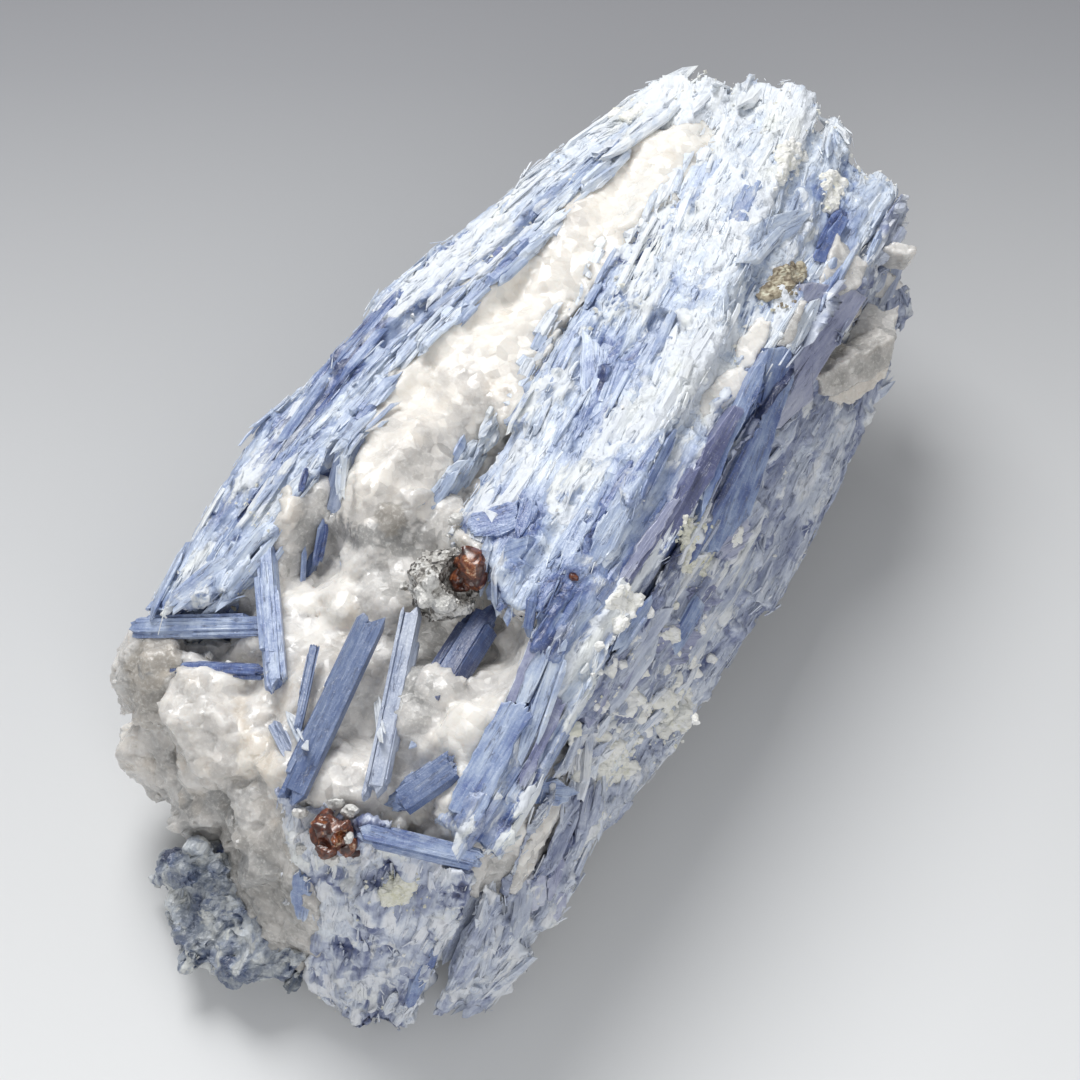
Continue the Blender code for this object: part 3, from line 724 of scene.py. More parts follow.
def paper_floor(name):
    """A sheet of matt paper, with a painted light falloff: pale at the front, darkening to grey behind."""
    material, tree = finish(name)
    place = add(tree, "TexCoord").outputs["Object"]
    # Painted light falloff: the paper is painted darker the farther back it lies, from pale grey to dark grey.
    apart = add(tree, "VectorMath", {0: place, 1: (-0.5, 0.866, 0.0)}, operation="DOT_PRODUCT")
    share = add(tree, "MapRange", {0: apart.outputs["Value"], 1: -0.07, 2: 0.13, 3: 0.0, 4: 1.0})
    ramp = add(tree, "ValToRGB", {0: share})
    banded(ramp, ((0.0, "E6E7E7"), (0.45, "BCBDBE"), (0.75, "8F9093"), (1.0, "66666B")))
    tooth = add(tree, "TexNoise", {"Vector": place, "Scale": 900.0, "Detail": 2.0})
    bump = add(tree, "Bump", {"Height": tooth, "Strength": 0.05, "Distance": 0.0001})
    surface = {"Base Color": ramp, "Roughness": 0.85, "Normal": bump}
    add(tree, "OutputMaterial", {"Surface": add(tree, "BsdfPrincipled", surface)})
    return material


KYANITE = cleaved_kyanite("cleaved_kyanite", KYANITE_BLUES, "E5E9EE", 0.9)
LILACS = (
    (0.0, "E5E7EC"), (0.2, "D2D8E3"), (0.4, "B0B8CC"),
    (0.6, "8891AF"), (0.8, "5B668E"), (1.0, "384064"),
)
LILAC_KYANITE = cleaved_kyanite("lilac_grey_kyanite", LILACS, "E4E5E8", 0.85)
VIOLETS = ((0.0, "E6E6EA"), (0.25, "C3C6D4"), (0.5, "969BB8"), (0.75, "666C93"), (1.0, "3C4163"))
VIOLET_KYANITE = cleaved_kyanite("violet_kyanite", VIOLETS, "E9E6E2", 0.6)
SINGLE_BLUES = ((0.0, "D3D9E3"), (0.3, "A4AEC3"), (0.55, "7686A8"), (0.75, "516590"), (1.0, "303C63"))
CLEAR_KYANITE = cleaved_kyanite("clear_kyanite", SINGLE_BLUES, "E6EAF0", 0.65)
SCHIST_GREYS = ((0.0, "C6C8C6"), (0.25, "A3A8AC"), (0.5, "7C8491"), (0.75, "586580"), (1.0, "37425F"))
SCHIST = cleaved_kyanite("grey_kyanite_schist", SCHIST_GREYS, "BDBEBA", 1.0)
QUARTZ = milky_quartz("milky_quartz_broken")
GARNET = almandine("almandine_garnet")
MICA = mica_crust("mica_and_feldspar_crust")
FELDSPAR = weathered_feldspar("weathered_feldspar")


# ---- Where the blue is deep, and where the crust is white ---------------------------------------------
# Runs in the camera's frame: from, to, half width in millimetres, how much bluer (or paler, below nothing).
BLUE_RUNS = (
    # right of the crest: the deep blades and the violet plates
    (778, 372, 715, 545, 2.6, 0.46),
    (715, 500, 640, 600, 2.0, 0.38),
    (860, 300, 800, 400, 3.4, 0.40),
    (838, 215, 822, 250, 0.9, 0.60),
    (690, 470, 600, 640, 1.6, 0.35),
    (640, 610, 500, 850, 1.6, 0.30),
    # on the crest
    (590, 345, 612, 420, 2.6, 0.30),
    (560, 330, 510, 420, 1.0, 0.35),
    (640, 350, 625, 365, 1.0, 0.40),
    (715, 265, 690, 310, 1.0, 0.35),
    (660, 400, 640, 430, 1.3, 0.35),
    (600, 520, 620, 470, 1.3, 0.35),
    (590, 570, 560, 590, 2.0, 0.30),
    (465, 525, 520, 500, 2.4, 0.50),
    (520, 530, 500, 600, 2.2, 0.42),
    (780, 225, 745, 260, 1.6, 0.25),
    # the shoulder's low end
    (545, 640, 470, 830, 2.6, 0.46),
    # left
    (345, 355, 400, 300, 2.4, 0.58),
    (300, 420, 345, 360, 2.2, 0.45),
    (215, 520, 300, 425, 2.2, 0.28),
    (165, 605, 235, 610, 1.3, 0.45),
    (560, 230, 620, 160, 1.8, 0.08),
    # paler
    (660, 90, 850, 150, 6.0, -0.26),
    (620, 230, 760, 150, 5.0, -0.02),
    (500, 400, 560, 320, 2.0, -0.10),
    (640, 300, 700, 220, 4.0, -0.10),
    (420, 230, 600, 130, 3.0, -0.20),
    (570, 230, 610, 170, 2.0, -0.20),
    (240, 430, 430, 240, 2.5, -0.06),
)
CHALK_RUNS = (
    (690, 90, 880, 150, 6.0, 0.45),
    (640, 280, 740, 160, 5.0, 0.22),
    (600, 640, 700, 480, 1.0, 0.3),
    (640, 420, 720, 330, 2.0, 0.5),
    (636, 412, 560, 508, 1.5, 0.7),
    (470, 480, 560, 380, 1.6, 0.5),
    (560, 270, 610, 215, 2.0, 0.5),
    (240, 420, 420, 220, 1.8, 0.35),
    (390, 300, 560, 150, 2.8, 0.55),
    (740, 345, 700, 400, 2.2, 0.6),
    (695, 520, 690, 570, 2.6, 0.7),
    (660, 780, 600, 760, 4.0, 0.5),
)


def runs_at(spots, runs):
    """What these runs add at each spot."""
    total = np.zeros(len(spots))
    for x0, y0, x1, y1, half, change in runs:
        start, end = in_view(x0, y0)[0], in_view(x1, y1)[0]
        line = end - start
        share = np.clip(((spots - start) @ line) / (line @ line), 0, 1)
        gap = np.linalg.norm(spots - (start + share[:, None] * line), axis=1)
        total += change * np.exp(-((gap / half) ** 2))
    return total


BASE_TONE = {"left_sheaf": 0.35, "main_sheaf": 0.35, "right_sheaf": 0.37, "front_fan": 0.26, "low_nest": 0.48}
BASE_CHALK = {"left_sheaf": 0.05, "main_sheaf": 0.12, "right_sheaf": 0.0, "front_fan": 0.15, "low_nest": 0.05}


def tone_at(node, spots, straight):
    swell = clouds(straight * (0.10, 0.32, 0.32), 1.0, 5) * 0.24
    swell = swell + clouds(straight * (0.2, 0.9, 0.9), 1.0, 6) * 0.17
    if node in ("front_fan", "low_nest"):
        swell = clouds(spots, 2.6, 5) * 0.24 + clouds(spots, 1.1, 6) * 0.24
    return BASE_TONE[node] + swell + runs_at(spots, BLUE_RUNS)


def chalk_at(node, spots, straight):
    swell = clouds(straight * (0.12, 0.30, 0.30), 1.0, 8) * 0.55
    swell = swell + clouds(straight * (0.35, 0.8, 0.8), 1.0, 9) * 0.35
    return BASE_CHALK[node] + np.clip(swell, -0.5, 0.7) + runs_at(spots, CHALK_RUNS)


# ---- Layers: skins over the solids, each with its outline in the camera's frame ------------------------
# Each: outline; how proud and how far evened, in millimetres; relief; tone; stain (or chalk for kyanite).
QUARTZ_LAYERS = (
    # the band between the left and the main sheaf
    (
        (
            (655, 128), (700, 118), (712, 150), (690, 175), (672, 200), (648, 215), (628, 240), (604, 262),
             (585, 285),
            (570, 302), (553, 322), (540, 348), (525, 368), (515, 398), (498, 424), (478, 445), (458, 470),
             (440, 500),
            (412, 520), (380, 540), (345, 530), (335, 500), (348, 460), (360, 425), (378, 395), (405, 362),
             (440, 326),
            (462, 306), (495, 270), (520, 254), (548, 246), (556, 215), (570, 192), (600, 180), (615, 160),
             (630, 140),
        ),
        0.45, 1.8, 0.12, 0.48, 0.12,
    ),
    # the front, where it fills up between the single crystals
    (
        (
            (345, 520), (400, 510), (445, 500), (480, 545), (500, 600), (535, 612), (530, 660), (510, 700),
             (490, 730),
            (470, 790), (445, 815), (380, 812), (300, 800), (255, 780), (240, 720), (262, 640), (250, 600),
             (275, 560),
            (290, 500), (320, 490),
        ),
        0.75, 3.2, 0.35, 0.04, 0.0,
    ),
    # the block under the knobs
    (
        ((236, 830), (284, 836), (300, 872), (320, 902), (310, 960), (262, 940), (240, 898)),
        0.9, 3.2, 0.4, -0.20, 0.1,
    ),
)
LAYER_EDGE = (-1.3, 1.5)  # millimetres beyond and within its outline over which a layer rises
# Flat faces. Each: outline; how proud in millimetres; tone; chalk (or stain for quartz).
KYANITE_PLATES = (
    # the deep blade with its own splits
    (
        ((768, 346), (790, 350), (795, 375), (776, 430), (769, 460), (752, 512), (722, 548), (706, 556),
         (716, 500), (738, 430), (765, 385)),
        0.8, 0.70, -0.4,
    ),
    (((752, 372), (768, 352), (762, 388), (734, 440), (716, 486), (700, 520), (706, 478),
     (728, 424)), 1.25, 0.66, -0.3),
    (((655, 440), (662, 446), (640, 482), (626, 496), (634, 466)), 0.3, 0.72, -0.3),
    (((842, 212), (848, 222), (832, 250), (818, 268), (822, 240)), 0.4, 0.85, -0.4),
    (((690, 168), (722, 158), (712, 182), (684, 210), (676, 196)), 0.15, 0.34, -0.1),
    (((766, 218), (800, 208), (812, 214), (788, 240), (760, 252), (752, 240)), 0.2, 0.34, -0.2),
    # on the crest
    (((582, 330), (606, 348), (618, 372), (600, 412), (584, 420), (580, 380)), 0.12, 0.50, -0.2),
    (((572, 330), (580, 340), (548, 396), (520, 428), (512, 420), (540, 372)), 0.25, 0.56, -0.2),
    (((620, 500), (630, 520), (604, 556), (588, 562), (596, 524)), 0.2, 0.52, -0.2),
    (((580, 520), (592, 524), (570, 566), (560, 576), (562, 548)), 0.2, 0.50, -0.2),
    # the shoulder's low end
    (
        ((500, 705), (525, 700), (532, 715), (514, 745), (502, 775), (480, 822), (448, 808), (456, 785),
         (472, 755)),
        0.9, 0.62, -0.3,
    ),
    (((536, 640), (552, 650), (530, 700), (520, 706), (512, 690)), 0.5, 0.42, 0.0),
    (((470, 515), (500, 505), (518, 500), (514, 528), (500, 536), (478, 536), (466, 528)), 0.35, 0.66, -0.3),
    (((520, 500), (536, 500), (538, 512), (522, 536), (514, 530)), 0.4, 0.70, -0.3),
    (((508, 540), (528, 536), (522, 576), (502, 606), (486, 600), (493, 570)), 0.4, 0.58, -0.3),
    # fragments in the front
    (((430, 768), (437, 776), (428, 798), (410, 808), (396, 812), (385, 805), (398, 785),
     (412, 772)), 0.5, 0.66, -0.3),
    # the right flank and the fan
    (((294, 872), (306, 878), (310, 900), (306, 922), (296, 918), (290, 895)), 0.6, 0.62, -0.2),
    (((432, 950), (440, 952), (426, 985), (414, 1008), (406, 1004), (414, 980)), 0.3, 0.72, -0.3),
    (((520, 785), (560, 780), (580, 792), (560, 806), (524, 802)), 0.6, 0.60, -0.1),
)
VIOLET_PLATES = (
    (
        ((803, 285), (845, 285), (868, 296), (840, 340), (812, 385), (812, 400), (768, 436), (776, 402),
         (792, 385), (797, 320)),
        0.5, 0.47, -0.6,
    ),
    (((735, 405), (742, 412), (716, 470), (690, 516), (668, 546), (660, 540), (690, 482),
     (706, 448)), 0.5, 0.80, -0.3),
    (((690, 470), (700, 468), (678, 512), (648, 556), (620, 600), (612, 592), (640, 552),
     (668, 510)), 0.45, 0.74, -0.2),
    (((672, 500), (680, 498), (655, 542), (628, 578), (616, 584), (640, 540)), 0.6, 0.50, 0.0),
    (((720, 520), (748, 518), (752, 536), (734, 560), (716, 556)), 0.6, 0.46, -0.2),
    (((664, 628), (690, 622), (700, 636), (684, 664), (664, 668), (656, 650)), 0.35, 0.62, 0.0),
    (((690, 588), (712, 584), (722, 600), (704, 614), (688, 606)), 0.3, 0.66, 0.0),
    (((640, 640), (656, 632), (652, 662), (634, 690), (622, 690), (630, 664)), 0.4, 0.52, 0.0),
    (((604, 668), (618, 664), (606, 706), (588, 730), (584, 712)), 0.4, 0.56, 0.0),
    (((556, 700), (566, 704), (540, 760), (524, 790), (518, 780), (536, 740)), 0.5, 0.70, 0.0),
    (((530, 640), (538, 645), (516, 700), (506, 700)), 0.5, 0.60, 0.0),
    (((560, 852), (568, 864), (566, 905), (556, 924), (548, 912), (548, 880)), 0.5, 0.50, -0.1),
    (((528, 880), (546, 870), (546, 900), (532, 912)), 0.5, 0.40, 0.0),
)
QUARTZ_PLATES = (
    # the slab and the shard at the right
    (((868, 300), (884, 310), (899, 305), (896, 336), (866, 350), (838, 366), (846, 336)), 0.5, -0.12, 0.0),
    (((866, 350), (896, 336), (890, 366), (852, 388), (826, 398), (817, 378), (838, 364)), 0.4, -0.24, 0.1),
    (((890, 366), (886, 378), (862, 400), (846, 405), (826, 400), (852, 386)), 0.3, 0.05, 0.35),
    (((846, 300), (868, 298), (858, 318), (838, 346), (828, 352)), 0.5, -0.30, 0.2),
    (((838, 232), (850, 250), (868, 262), (862, 284), (840, 296), (815, 295), (822, 275)), 0.4, -0.05, 0.0),
    (((880, 248), (898, 241), (920, 247), (906, 256)), 0.0, -0.05, 0.0),
    (((870, 278), (892, 272), (904, 286), (884, 298), (868, 296)), 0.4, 0.0, 0.0),
    (((757, 318), (772, 322), (766, 342), (752, 368), (736, 366), (738, 340)), 0.5, 0.25, 0.0),
    (((744, 366), (752, 372), (742, 396), (712, 414), (696, 425), (702, 396), (722, 372)), 0.4, 0.25, 0.0),
    (((800, 300), (808, 302), (790, 344), (776, 346)), 0.6, -0.15, 0.0),
)
# Patches of feldspar crumbs: outline, stain.
CRUMB_PATCHES = (
    (((686, 516), (712, 516), (718, 550), (700, 580), (682, 568), (675, 540)), 0.34),
    (((378, 890), (400, 874), (418, 884), (406, 902), (384, 906)), 0.30),
    (((773, 156), (792, 138), (806, 150), (798, 174), (780, 184)), 0.10),
    (((820, 176), (836, 168), (846, 182), (838, 208), (824, 212)), 0.14),
    (((608, 116), (640, 98), (650, 106), (628, 122)), 0.12),
    (((758, 296), (780, 268), (798, 262), (808, 272), (790, 288), (768, 302)), 0.70),
    (((606, 600), (622, 584), (648, 598), (640, 620), (618, 640)), 0.06),
    (((640, 700), (690, 690), (700, 720), (660, 740)), 0.12),
    (((590, 760), (620, 740), (640, 770), (604, 790)), 0.16),
    (((730, 520), (744, 528), (738, 546), (724, 540)), 0.10),
)
LAYER_GRID = 2.8  # steps of the frame between the corners of a layer
LAYER_MARGIN = 14.0
LAYER_DEPTH = 1.8  # millimetres
SUNK = 1.1  # millimetres that a layer's border lies under the ground


def eased_grid(values, known, reach):
    """A grid of values evened over this many corners of the grid, from the known ones only."""
    half = int(reach * 2.5) + 1
    weights = np.exp(-((np.arange(-half, half + 1) / max(reach, 1e-3)) ** 2))
    totals = []
    for grid in (np.where(known, values, 0.0), known.astype(float)):
        for axis in (0, 1):
            grid = np.apply_along_axis(np.convolve, axis, np.pad(grid, half, mode="edge"), weights, "same")
            grid = grid[half:-half, half:-half]
        totals.append(grid)
    return totals[0] / np.maximum(totals[1], 1e-9)


def squares_of(numbers):
    """The faces between neighbours in a grid of numbered corners."""
    around = [numbers[:-1, :-1], numbers[1:, :-1], numbers[1:, 1:], numbers[:-1, 1:]]
    return np.stack(around, axis=-1).reshape(-1, 4)


def layer(outline, proud, evened, relief, seed, cells):
    """A skin over the solids: its places and faces, and where its front lies before relief."""
    low = np.min(outline, axis=0) - LAYER_MARGIN
    high = np.max(outline, axis=0) + LAYER_MARGIN
    across, down = np.meshgrid(*(np.arange(low[k], high[k], LAYER_GRID) for k in (0, 1)))
    steps = np.stack([across.ravel(), down.ravel()], axis=1)
    across_down = (steps - FRAME_SIDE / 2) * REACH
    rays = unit(across_down[:, :1] * RIGHT - across_down[:, 1:] * UP - BACK)
    gaps = np.array([MASSES.ray_cast(Vector(CAMERA_PLACE), Vector(ray))[3] or np.nan for ray in rays])
    known = ~np.isnan(gaps).reshape(across.shape)
    gaps = np.nan_to_num(gaps).reshape(across.shape)
    spacing = LAYER_GRID * STEP
    front = eased_grid(gaps, known, evened / spacing)
    front = np.where(known, np.minimum(front, gaps), front)
    front = eased_grid(front, known, max(0.35, evened * 0.4) / spacing).ravel()
    bare = CAMERA_PLACE + rays * front[:, None]
    inside = edge_gap(steps, outline) * STEP
    inside = inside + clouds(bare, 1.5, seed) * 0.5 + clouds(bare, 0.5, seed + 1) * 0.3
    rise = smooth(inside, *LAYER_EDGE)
    broken = cleft(bare, cells, seed, steps=0.7, tilts=0.6)[0]
    broken = (broken + cleft(bare, cells * 0.45, seed + 3, steps=0.3, tilts=0.3)[0]) * relief
    top = bare - rays * ((SUNK + proud + broken) * rise - SUNK)[:, None]
    bottom = top + rays * LAYER_DEPTH
    wanted = (inside > LAYER_EDGE[0] - 0.1) & known.ravel()
    quads = squares_of(np.arange(len(steps)).reshape(across.shape))
    quads = quads[wanted[quads].all(axis=1)]
    sides = np.stack([quads, np.roll(quads, -1, axis=1)], axis=-1).reshape(-1, 2)
    once = ~np.isin(sides[:, 0] * len(steps) + sides[:, 1], sides[:, 1] * len(steps) + sides[:, 0])
    rim = sides[once]
    walls = np.stack([rim[:, 1], rim[:, 0], rim[:, 0] + len(steps), rim[:, 1] + len(steps)], axis=1)
    faces = np.concatenate([quads, quads[:, ::-1] + len(steps), walls])
    places = np.concatenate([top, bottom])
    used, faces = np.unique(faces, return_inverse=True)
    return places[used], faces.reshape(-1, 4), np.tile(bare, (2, 1))[used]


OUTLINES = [entry[0] for entry in QUARTZ_LAYERS + KYANITE_PLATES[:1] + VIOLET_PLATES[:1] + QUARTZ_PLATES[:3]]


def covered(spots):
    """How far these spots lie under a layer: 0 clear of them all, 1 well inside."""
    steps = steps_of(spots)
    deepest = np.full(len(spots), -np.inf)
    for outline in OUTLINES:
        deepest = np.maximum(deepest, edge_gap(steps, outline))
    under = smooth(deepest * STEP, 0.0, 1.0)
    for i in np.flatnonzero(under > 0):
        toward = Vector(CAMERA_PLACE - spots[i]).normalized()
        if SOLIDS.ray_cast(Vector(spots[i]) + toward * 0.9, toward)[0] is not None:
            under[i] = 0
    return under


RAGGED = (0.224, 0.07)  # how far a plate's edge strays along and across it, in millimetres


def plate(outline, proud, rng, tone, chalk, rim=0.45, deep=2.4):
    """A flat face with this outline in the camera's frame, as a thick plate with a ragged, bevelled edge."""
    seen, outs = all_in_view(outline)
    middle = seen.mean(axis=0)
    toward = unit(CAMERA_PLACE - middle)
    axes = np.linalg.svd(seen - middle, full_matrices=False)[2]
    slope = axes[2] * np.sign(axes[2] @ toward)
    out = unit(slope * 0.5 + unit(outs.mean(axis=0)) * 0.5 + toward * 0.2)
    way = unit(axes[0] - out * (axes[0] @ out))
    side = np.cross(out, way)
    height = np.percentile((seen - middle) @ out, 50) + proud
    middle = middle + out * height
    corners = []
    for x, y in outline:
        ray = RIGHT * (x - FRAME_SIDE / 2) * REACH - UP * (y - FRAME_SIDE / 2) * REACH - BACK
        corners.append(CAMERA_PLACE + ray * ((middle - CAMERA_PLACE) @ out) / (ray @ out))
    corners = np.array(corners)
    shares = np.arange(6) / 6
    edge = corners[:, None] + (np.roll(corners, -1, axis=0) - corners)[:, None] * shares[None, :, None]
    edge = edge.reshape(-1, 3)
    count = len(edge)
    edge = edge + rng.normal(0, RAGGED[0], (count, 1)) * way + rng.normal(0, RAGGED[1], (count, 1)) * side
    middle = edge.mean(axis=0)
    spokes = edge - middle
    long = np.linalg.norm(spokes, axis=1, keepdims=True)
    inner = middle + spokes * (1 - np.minimum(0.22 / long, 0.3)) + out * 0.05
    low = edge - out * rng.uniform(0.1, 0.25, (count, 1)) + spokes / long * rng.uniform(-0.1, 0.1, (count, 1))
    base = low - out * deep
    places = np.concatenate([middle[None] + out * 0.05, inner, edge, low, base, middle[None] - out * deep])
    k = np.arange(count)
    after = (k + 1) % count
    pairs = np.arange(0, count, 2)
    faces = [np.stack([np.zeros(len(pairs), int), 1 + pairs, 2 + pairs, 1 + (pairs + 2) % count], axis=1)]
    for ring in range(3):
        start = 1 + ring * count
        faces.append(np.stack([start + k, start + count + k, start + count + after, start + after], axis=1))
    start = 1 + 3 * count
    last = np.full(len(pairs), start + count)
    faces.append(np.stack([last, start + (pairs + 2) % count, start + pairs + 1, start + pairs], axis=1))
    apart = places - middle
    own = rng.uniform(0, 90)
    grain = np.stack([apart @ way + own * 3, apart @ side, apart @ out + own], axis=1)
    rings = [np.full(count, share) for share in (0.1, rim, rim * 0.4)]
    pale = np.concatenate([(0.0,), *rings, np.zeros(count + 1)])
    look = np.stack(np.broadcast_arrays(tone, chalk, pale), axis=1)
    return places, np.concatenate(faces), grain, look


def scattered_in(outline, count, rng):
    """Spots on the solids that the camera sees within an outline: (spots, ways out)."""
    low, high = np.min(outline, axis=0), np.max(outline, axis=0)
    steps = rng.uniform(low, high, (count * 3, 2))
    return all_in_view(steps[edge_gap(steps, outline) > 0][:count])


def crumbs_in(outline, count, rng, most, low, sunk, flat, stain, spread):
    """Broken crumbs that lie on the solids within an outline."""
    spots, outs = scattered_in(outline, count, rng)
    count = len(spots)
    sizes = 0.5 + (most - 0.5) * rng.random(count) ** 2
    outs = outs + rng.normal(0, 0.35, (count, 3))
    spots = spots + unit(outs) * (rng.uniform(low, 0.35, count) - sizes * sunk)[:, None]
    stains = stain + rng.normal(0, spread, count)
    return broken_slabs(spots, outs, sizes, sizes * flat, rng, np.zeros(count), stains)


def make_plates():
    rng = np.random.default_rng(331)
    plates = [plate(outline, proud, rng, tone, chalk) for outline, proud, tone, chalk in KYANITE_PLATES]
    nodes = ["main_sheaf", "right_sheaf", "front_fan", "end_blade"]
    piece("kyanite_plates", plates, KYANITE, nodes)
    plates = [plate(outline, proud, rng, tone, chalk, 0.6) for outline, proud, tone, chalk in VIOLET_PLATES]
    piece("violet_plates", plates, VIOLET_KYANITE, ["main_sheaf", "right_sheaf"])
    plates = [
        plate(outline, proud, rng, tone, stain, 0.0, 3.4)
        for outline, proud, tone, stain in QUARTZ_PLATES
    ]
    skin_of_slabs = remeshed(None, 0.24, plates)
    places = skin_of_slabs[0]
    look = looks_of(plates, places, 1.0)[0]
    chipped = cleft(places, 2.4, 332, steps=0.4, tilts=0.6)[0]
    heights = chipped * 0.12 + cleft(places, 0.9, 333, tilts=0.5)[0] * 0.04
    look[:, 0] += chipped * 0.08
    slabs = lifted(skin_of_slabs, heights, look)
    piece("right_slabs", [slabs], QUARTZ, ["quartz_matrix"], shade_smooth=True)
    patches = [
        crumbs_in(outline, 150, rng, 1.5, -0.1, 0.2, 0.55, stain, 0.09)
        for outline, stain in CRUMB_PATCHES
    ]
    skin_of_crumbs = remeshed(None, 0.21, patches)
    places = skin_of_crumbs[0]
    heights = cleft(places, 0.6, 334, tilts=0.6)[0] * 0.12 + clouds(places, 1.1, 335) * 0.10
    crumbs = lifted(skin_of_crumbs, heights, looks_of(patches, places, 1.0)[0])
    piece("feldspar_patches", [crumbs], FELDSPAR, ["main_sheaf", "front_fan"])


# Borders of the band that blades of the sheaves reach over, in the camera's frame.
FRINGES = {
    "left_sheaf": (
        (640, 118), (600, 176), (560, 198), (546, 240), (495, 266), (440, 322), (378, 392), (350, 448),
    ),
    "main_sheaf": ((704, 160), (640, 216), (585, 287), (540, 350), (515, 398), (470, 458), (440, 500)),
}


def make_fringes():
    rng = np.random.default_rng(341)
    parts = []
    for node, line in FRINGES.items():
        line = np.array(line, float)
        count = 130
        where = rng.uniform(0, len(line) - 1.001, count)
        first = where.astype(int)
        steps = line[first] + (line[first + 1] - line[first]) * (where - first)[:, None]
        spots = all_in_view(steps + rng.normal(0, 7, (count, 2)))[0]
        way, straight = growth_of(node, spots)
        outs = Ground([node, "quartz_matrix"]).eased(spots, 3.0)
        way = way + rng.normal(0, 0.06, (count, 3))
        width = 0.25 + 1.3 * rng.random(count) ** 2
        spots = spots + outs * (0.42 - width * 0.12)[:, None]
        tone = tone_at(node, spots, straight) + rng.normal(0, 0.06, count)
        chalk = chalk_at(node, spots, straight) + rng.normal(0, 0.1, count)
        long = rng.uniform(1.5, 6.0, count)
        face = outs + rng.normal(0, 0.12, (count, 3))
        deep = width * 0.4
        parts.append(
            blades(spots, way, face, long, width, deep, rng, tone, chalk, WIDE_SECTION, TAPERED, dips=0.35)
        )
    piece("band_fringes", parts, KYANITE, ["left_sheaf", "main_sheaf"])


BRIDGE = ((640, 98), (672, 68), (705, 64), (732, 82), (726, 112), (700, 124), (660, 130), (642, 118))
FLANK = (
    (600, 640), (640, 606), (690, 600), (718, 630), (712, 665), (680, 710), (650, 735), (630, 765),
     (585, 790), (560, 770),
)


def make_bridge():
    places, faces, bare = layer(BRIDGE, 0.35, 2.2, 0.35, 371, 2.0)
    straight = growth_of("main_sheaf", bare)[1]
    tone = tone_at("main_sheaf", bare, straight)
    chalk = chalk_at("main_sheaf", bare, straight)
    bridge = (places, faces, straight, look_of(tone, chalk))
    piece("top_bridge", [bridge], KYANITE, ["main_sheaf", "left_sheaf"], shade_smooth=True)


def make_flank():
    slabs = crumbs_in(FLANK, 130, np.random.default_rng(372), 2.5, 0.0, 0.18, 0.5, 0.06, 0.12)
    body = remeshed(None, 0.24, [slabs])
    heights = cleft(body[0], 0.7, 373, tilts=0.6)[0] * 0.12
    grown = lifted(body, heights, looks_of([slabs], body[0], 1.0)[0])
    piece("flank_feldspar", [grown], FELDSPAR, ["right_sheaf"])


# Fragments that stick out of the rougher kyanite: how many, least and most size, tone and its spread.
FRAGMENTS = {
    "front_fan": (230, 1.2, 4.4, 0.38, 0.22),
    "low_nest": (260, 1.4, 4.6, 0.42, 0.26),
    "right_sheaf": (420, 0.9, 3.4, 0.46, 0.18),
    "main_sheaf": (240, 0.8, 2.8, 0.28, 0.12),
}


def fragments(node, seed):
    count, least, most, tone, spread = FRAGMENTS[node]
    rng = np.random.default_rng(seed)
    ground = Ground([node])
    spots, outs = ground.bare(count, rng, 0.3)
    count = len(spots)
    sizes = least + (most - least) * rng.random(count) ** 2
    thick = sizes * rng.uniform(0.3, 0.6, count)
    tilted = ground.eased(spots, 2.0) + rng.normal(0, 0.3, (count, 3))
    middles = spots + outs * (rng.uniform(0.05, 0.45, count) - thick * 0.3)[:, None]
    tones = tone + rng.normal(0, spread, count)
    return broken_slabs(middles, tilted, sizes, thick, rng, tones, rng.normal(0.0, 0.25, count))


# ---- Sheaves ------------------------------------------------------------------------------------------
# For each size of blade: least and most length and width, share of the ground covered, stray and roll in
# degrees, how proud it may lie, its section and its rings.
BLADE_SIZES = {
    "broad": ((4.0, 12.0), (1.2, 2.8), 0.26, 2.5, 6.0, (-0.35, 0.10), WIDE_SECTION, TAPERED),
    "middling": ((3.0, 10.0), (0.5, 1.3), 0.34, 3.0, 9.0, (-0.3, 0.14), WIDE_SECTION, TAPERED),
    "narrow": ((1.2, 4.5), (0.2, 0.55), 0.17, 5.0, 18.0, (-0.15, 0.20), SLIM_SECTION, PLAIN),
    "splinter": ((0.6, 2.2), (0.12, 0.26), 0.07, 12.0, 30.0, (0.0, 0.26), SLIM_SECTION, PLAIN),
}


def turned(vectors, axes, degrees):
    angle = np.radians(degrees)[:, None]
    spun = np.cross(axes, vectors)
    along = (axes * vectors).sum(axis=1, keepdims=True) * axes
    return vectors * np.cos(angle) + spun * np.sin(angle) + along * (1 - np.cos(angle))


TIP_REACH = 0.7  # how far a blade's end may stand clear of the solids


def kept_near(middles, ways, lengths):
    """Draws in the blades whose ends stand clear of the solids."""
    middles, lengths = middles.copy(), lengths.copy()
    for _ in range(4):
        for sense in (-1, 1):
            ends = middles + ways * (lengths * 0.5 * sense)[:, None]
            gaps = np.array([SOLIDS.find_nearest(Vector(end))[3] for end in ends])
            over = np.clip(gaps - TIP_REACH, 0, lengths * 0.4)
            lengths -= over
            middles -= ways * (over * 0.5 * sense)[:, None]
    return middles, lengths


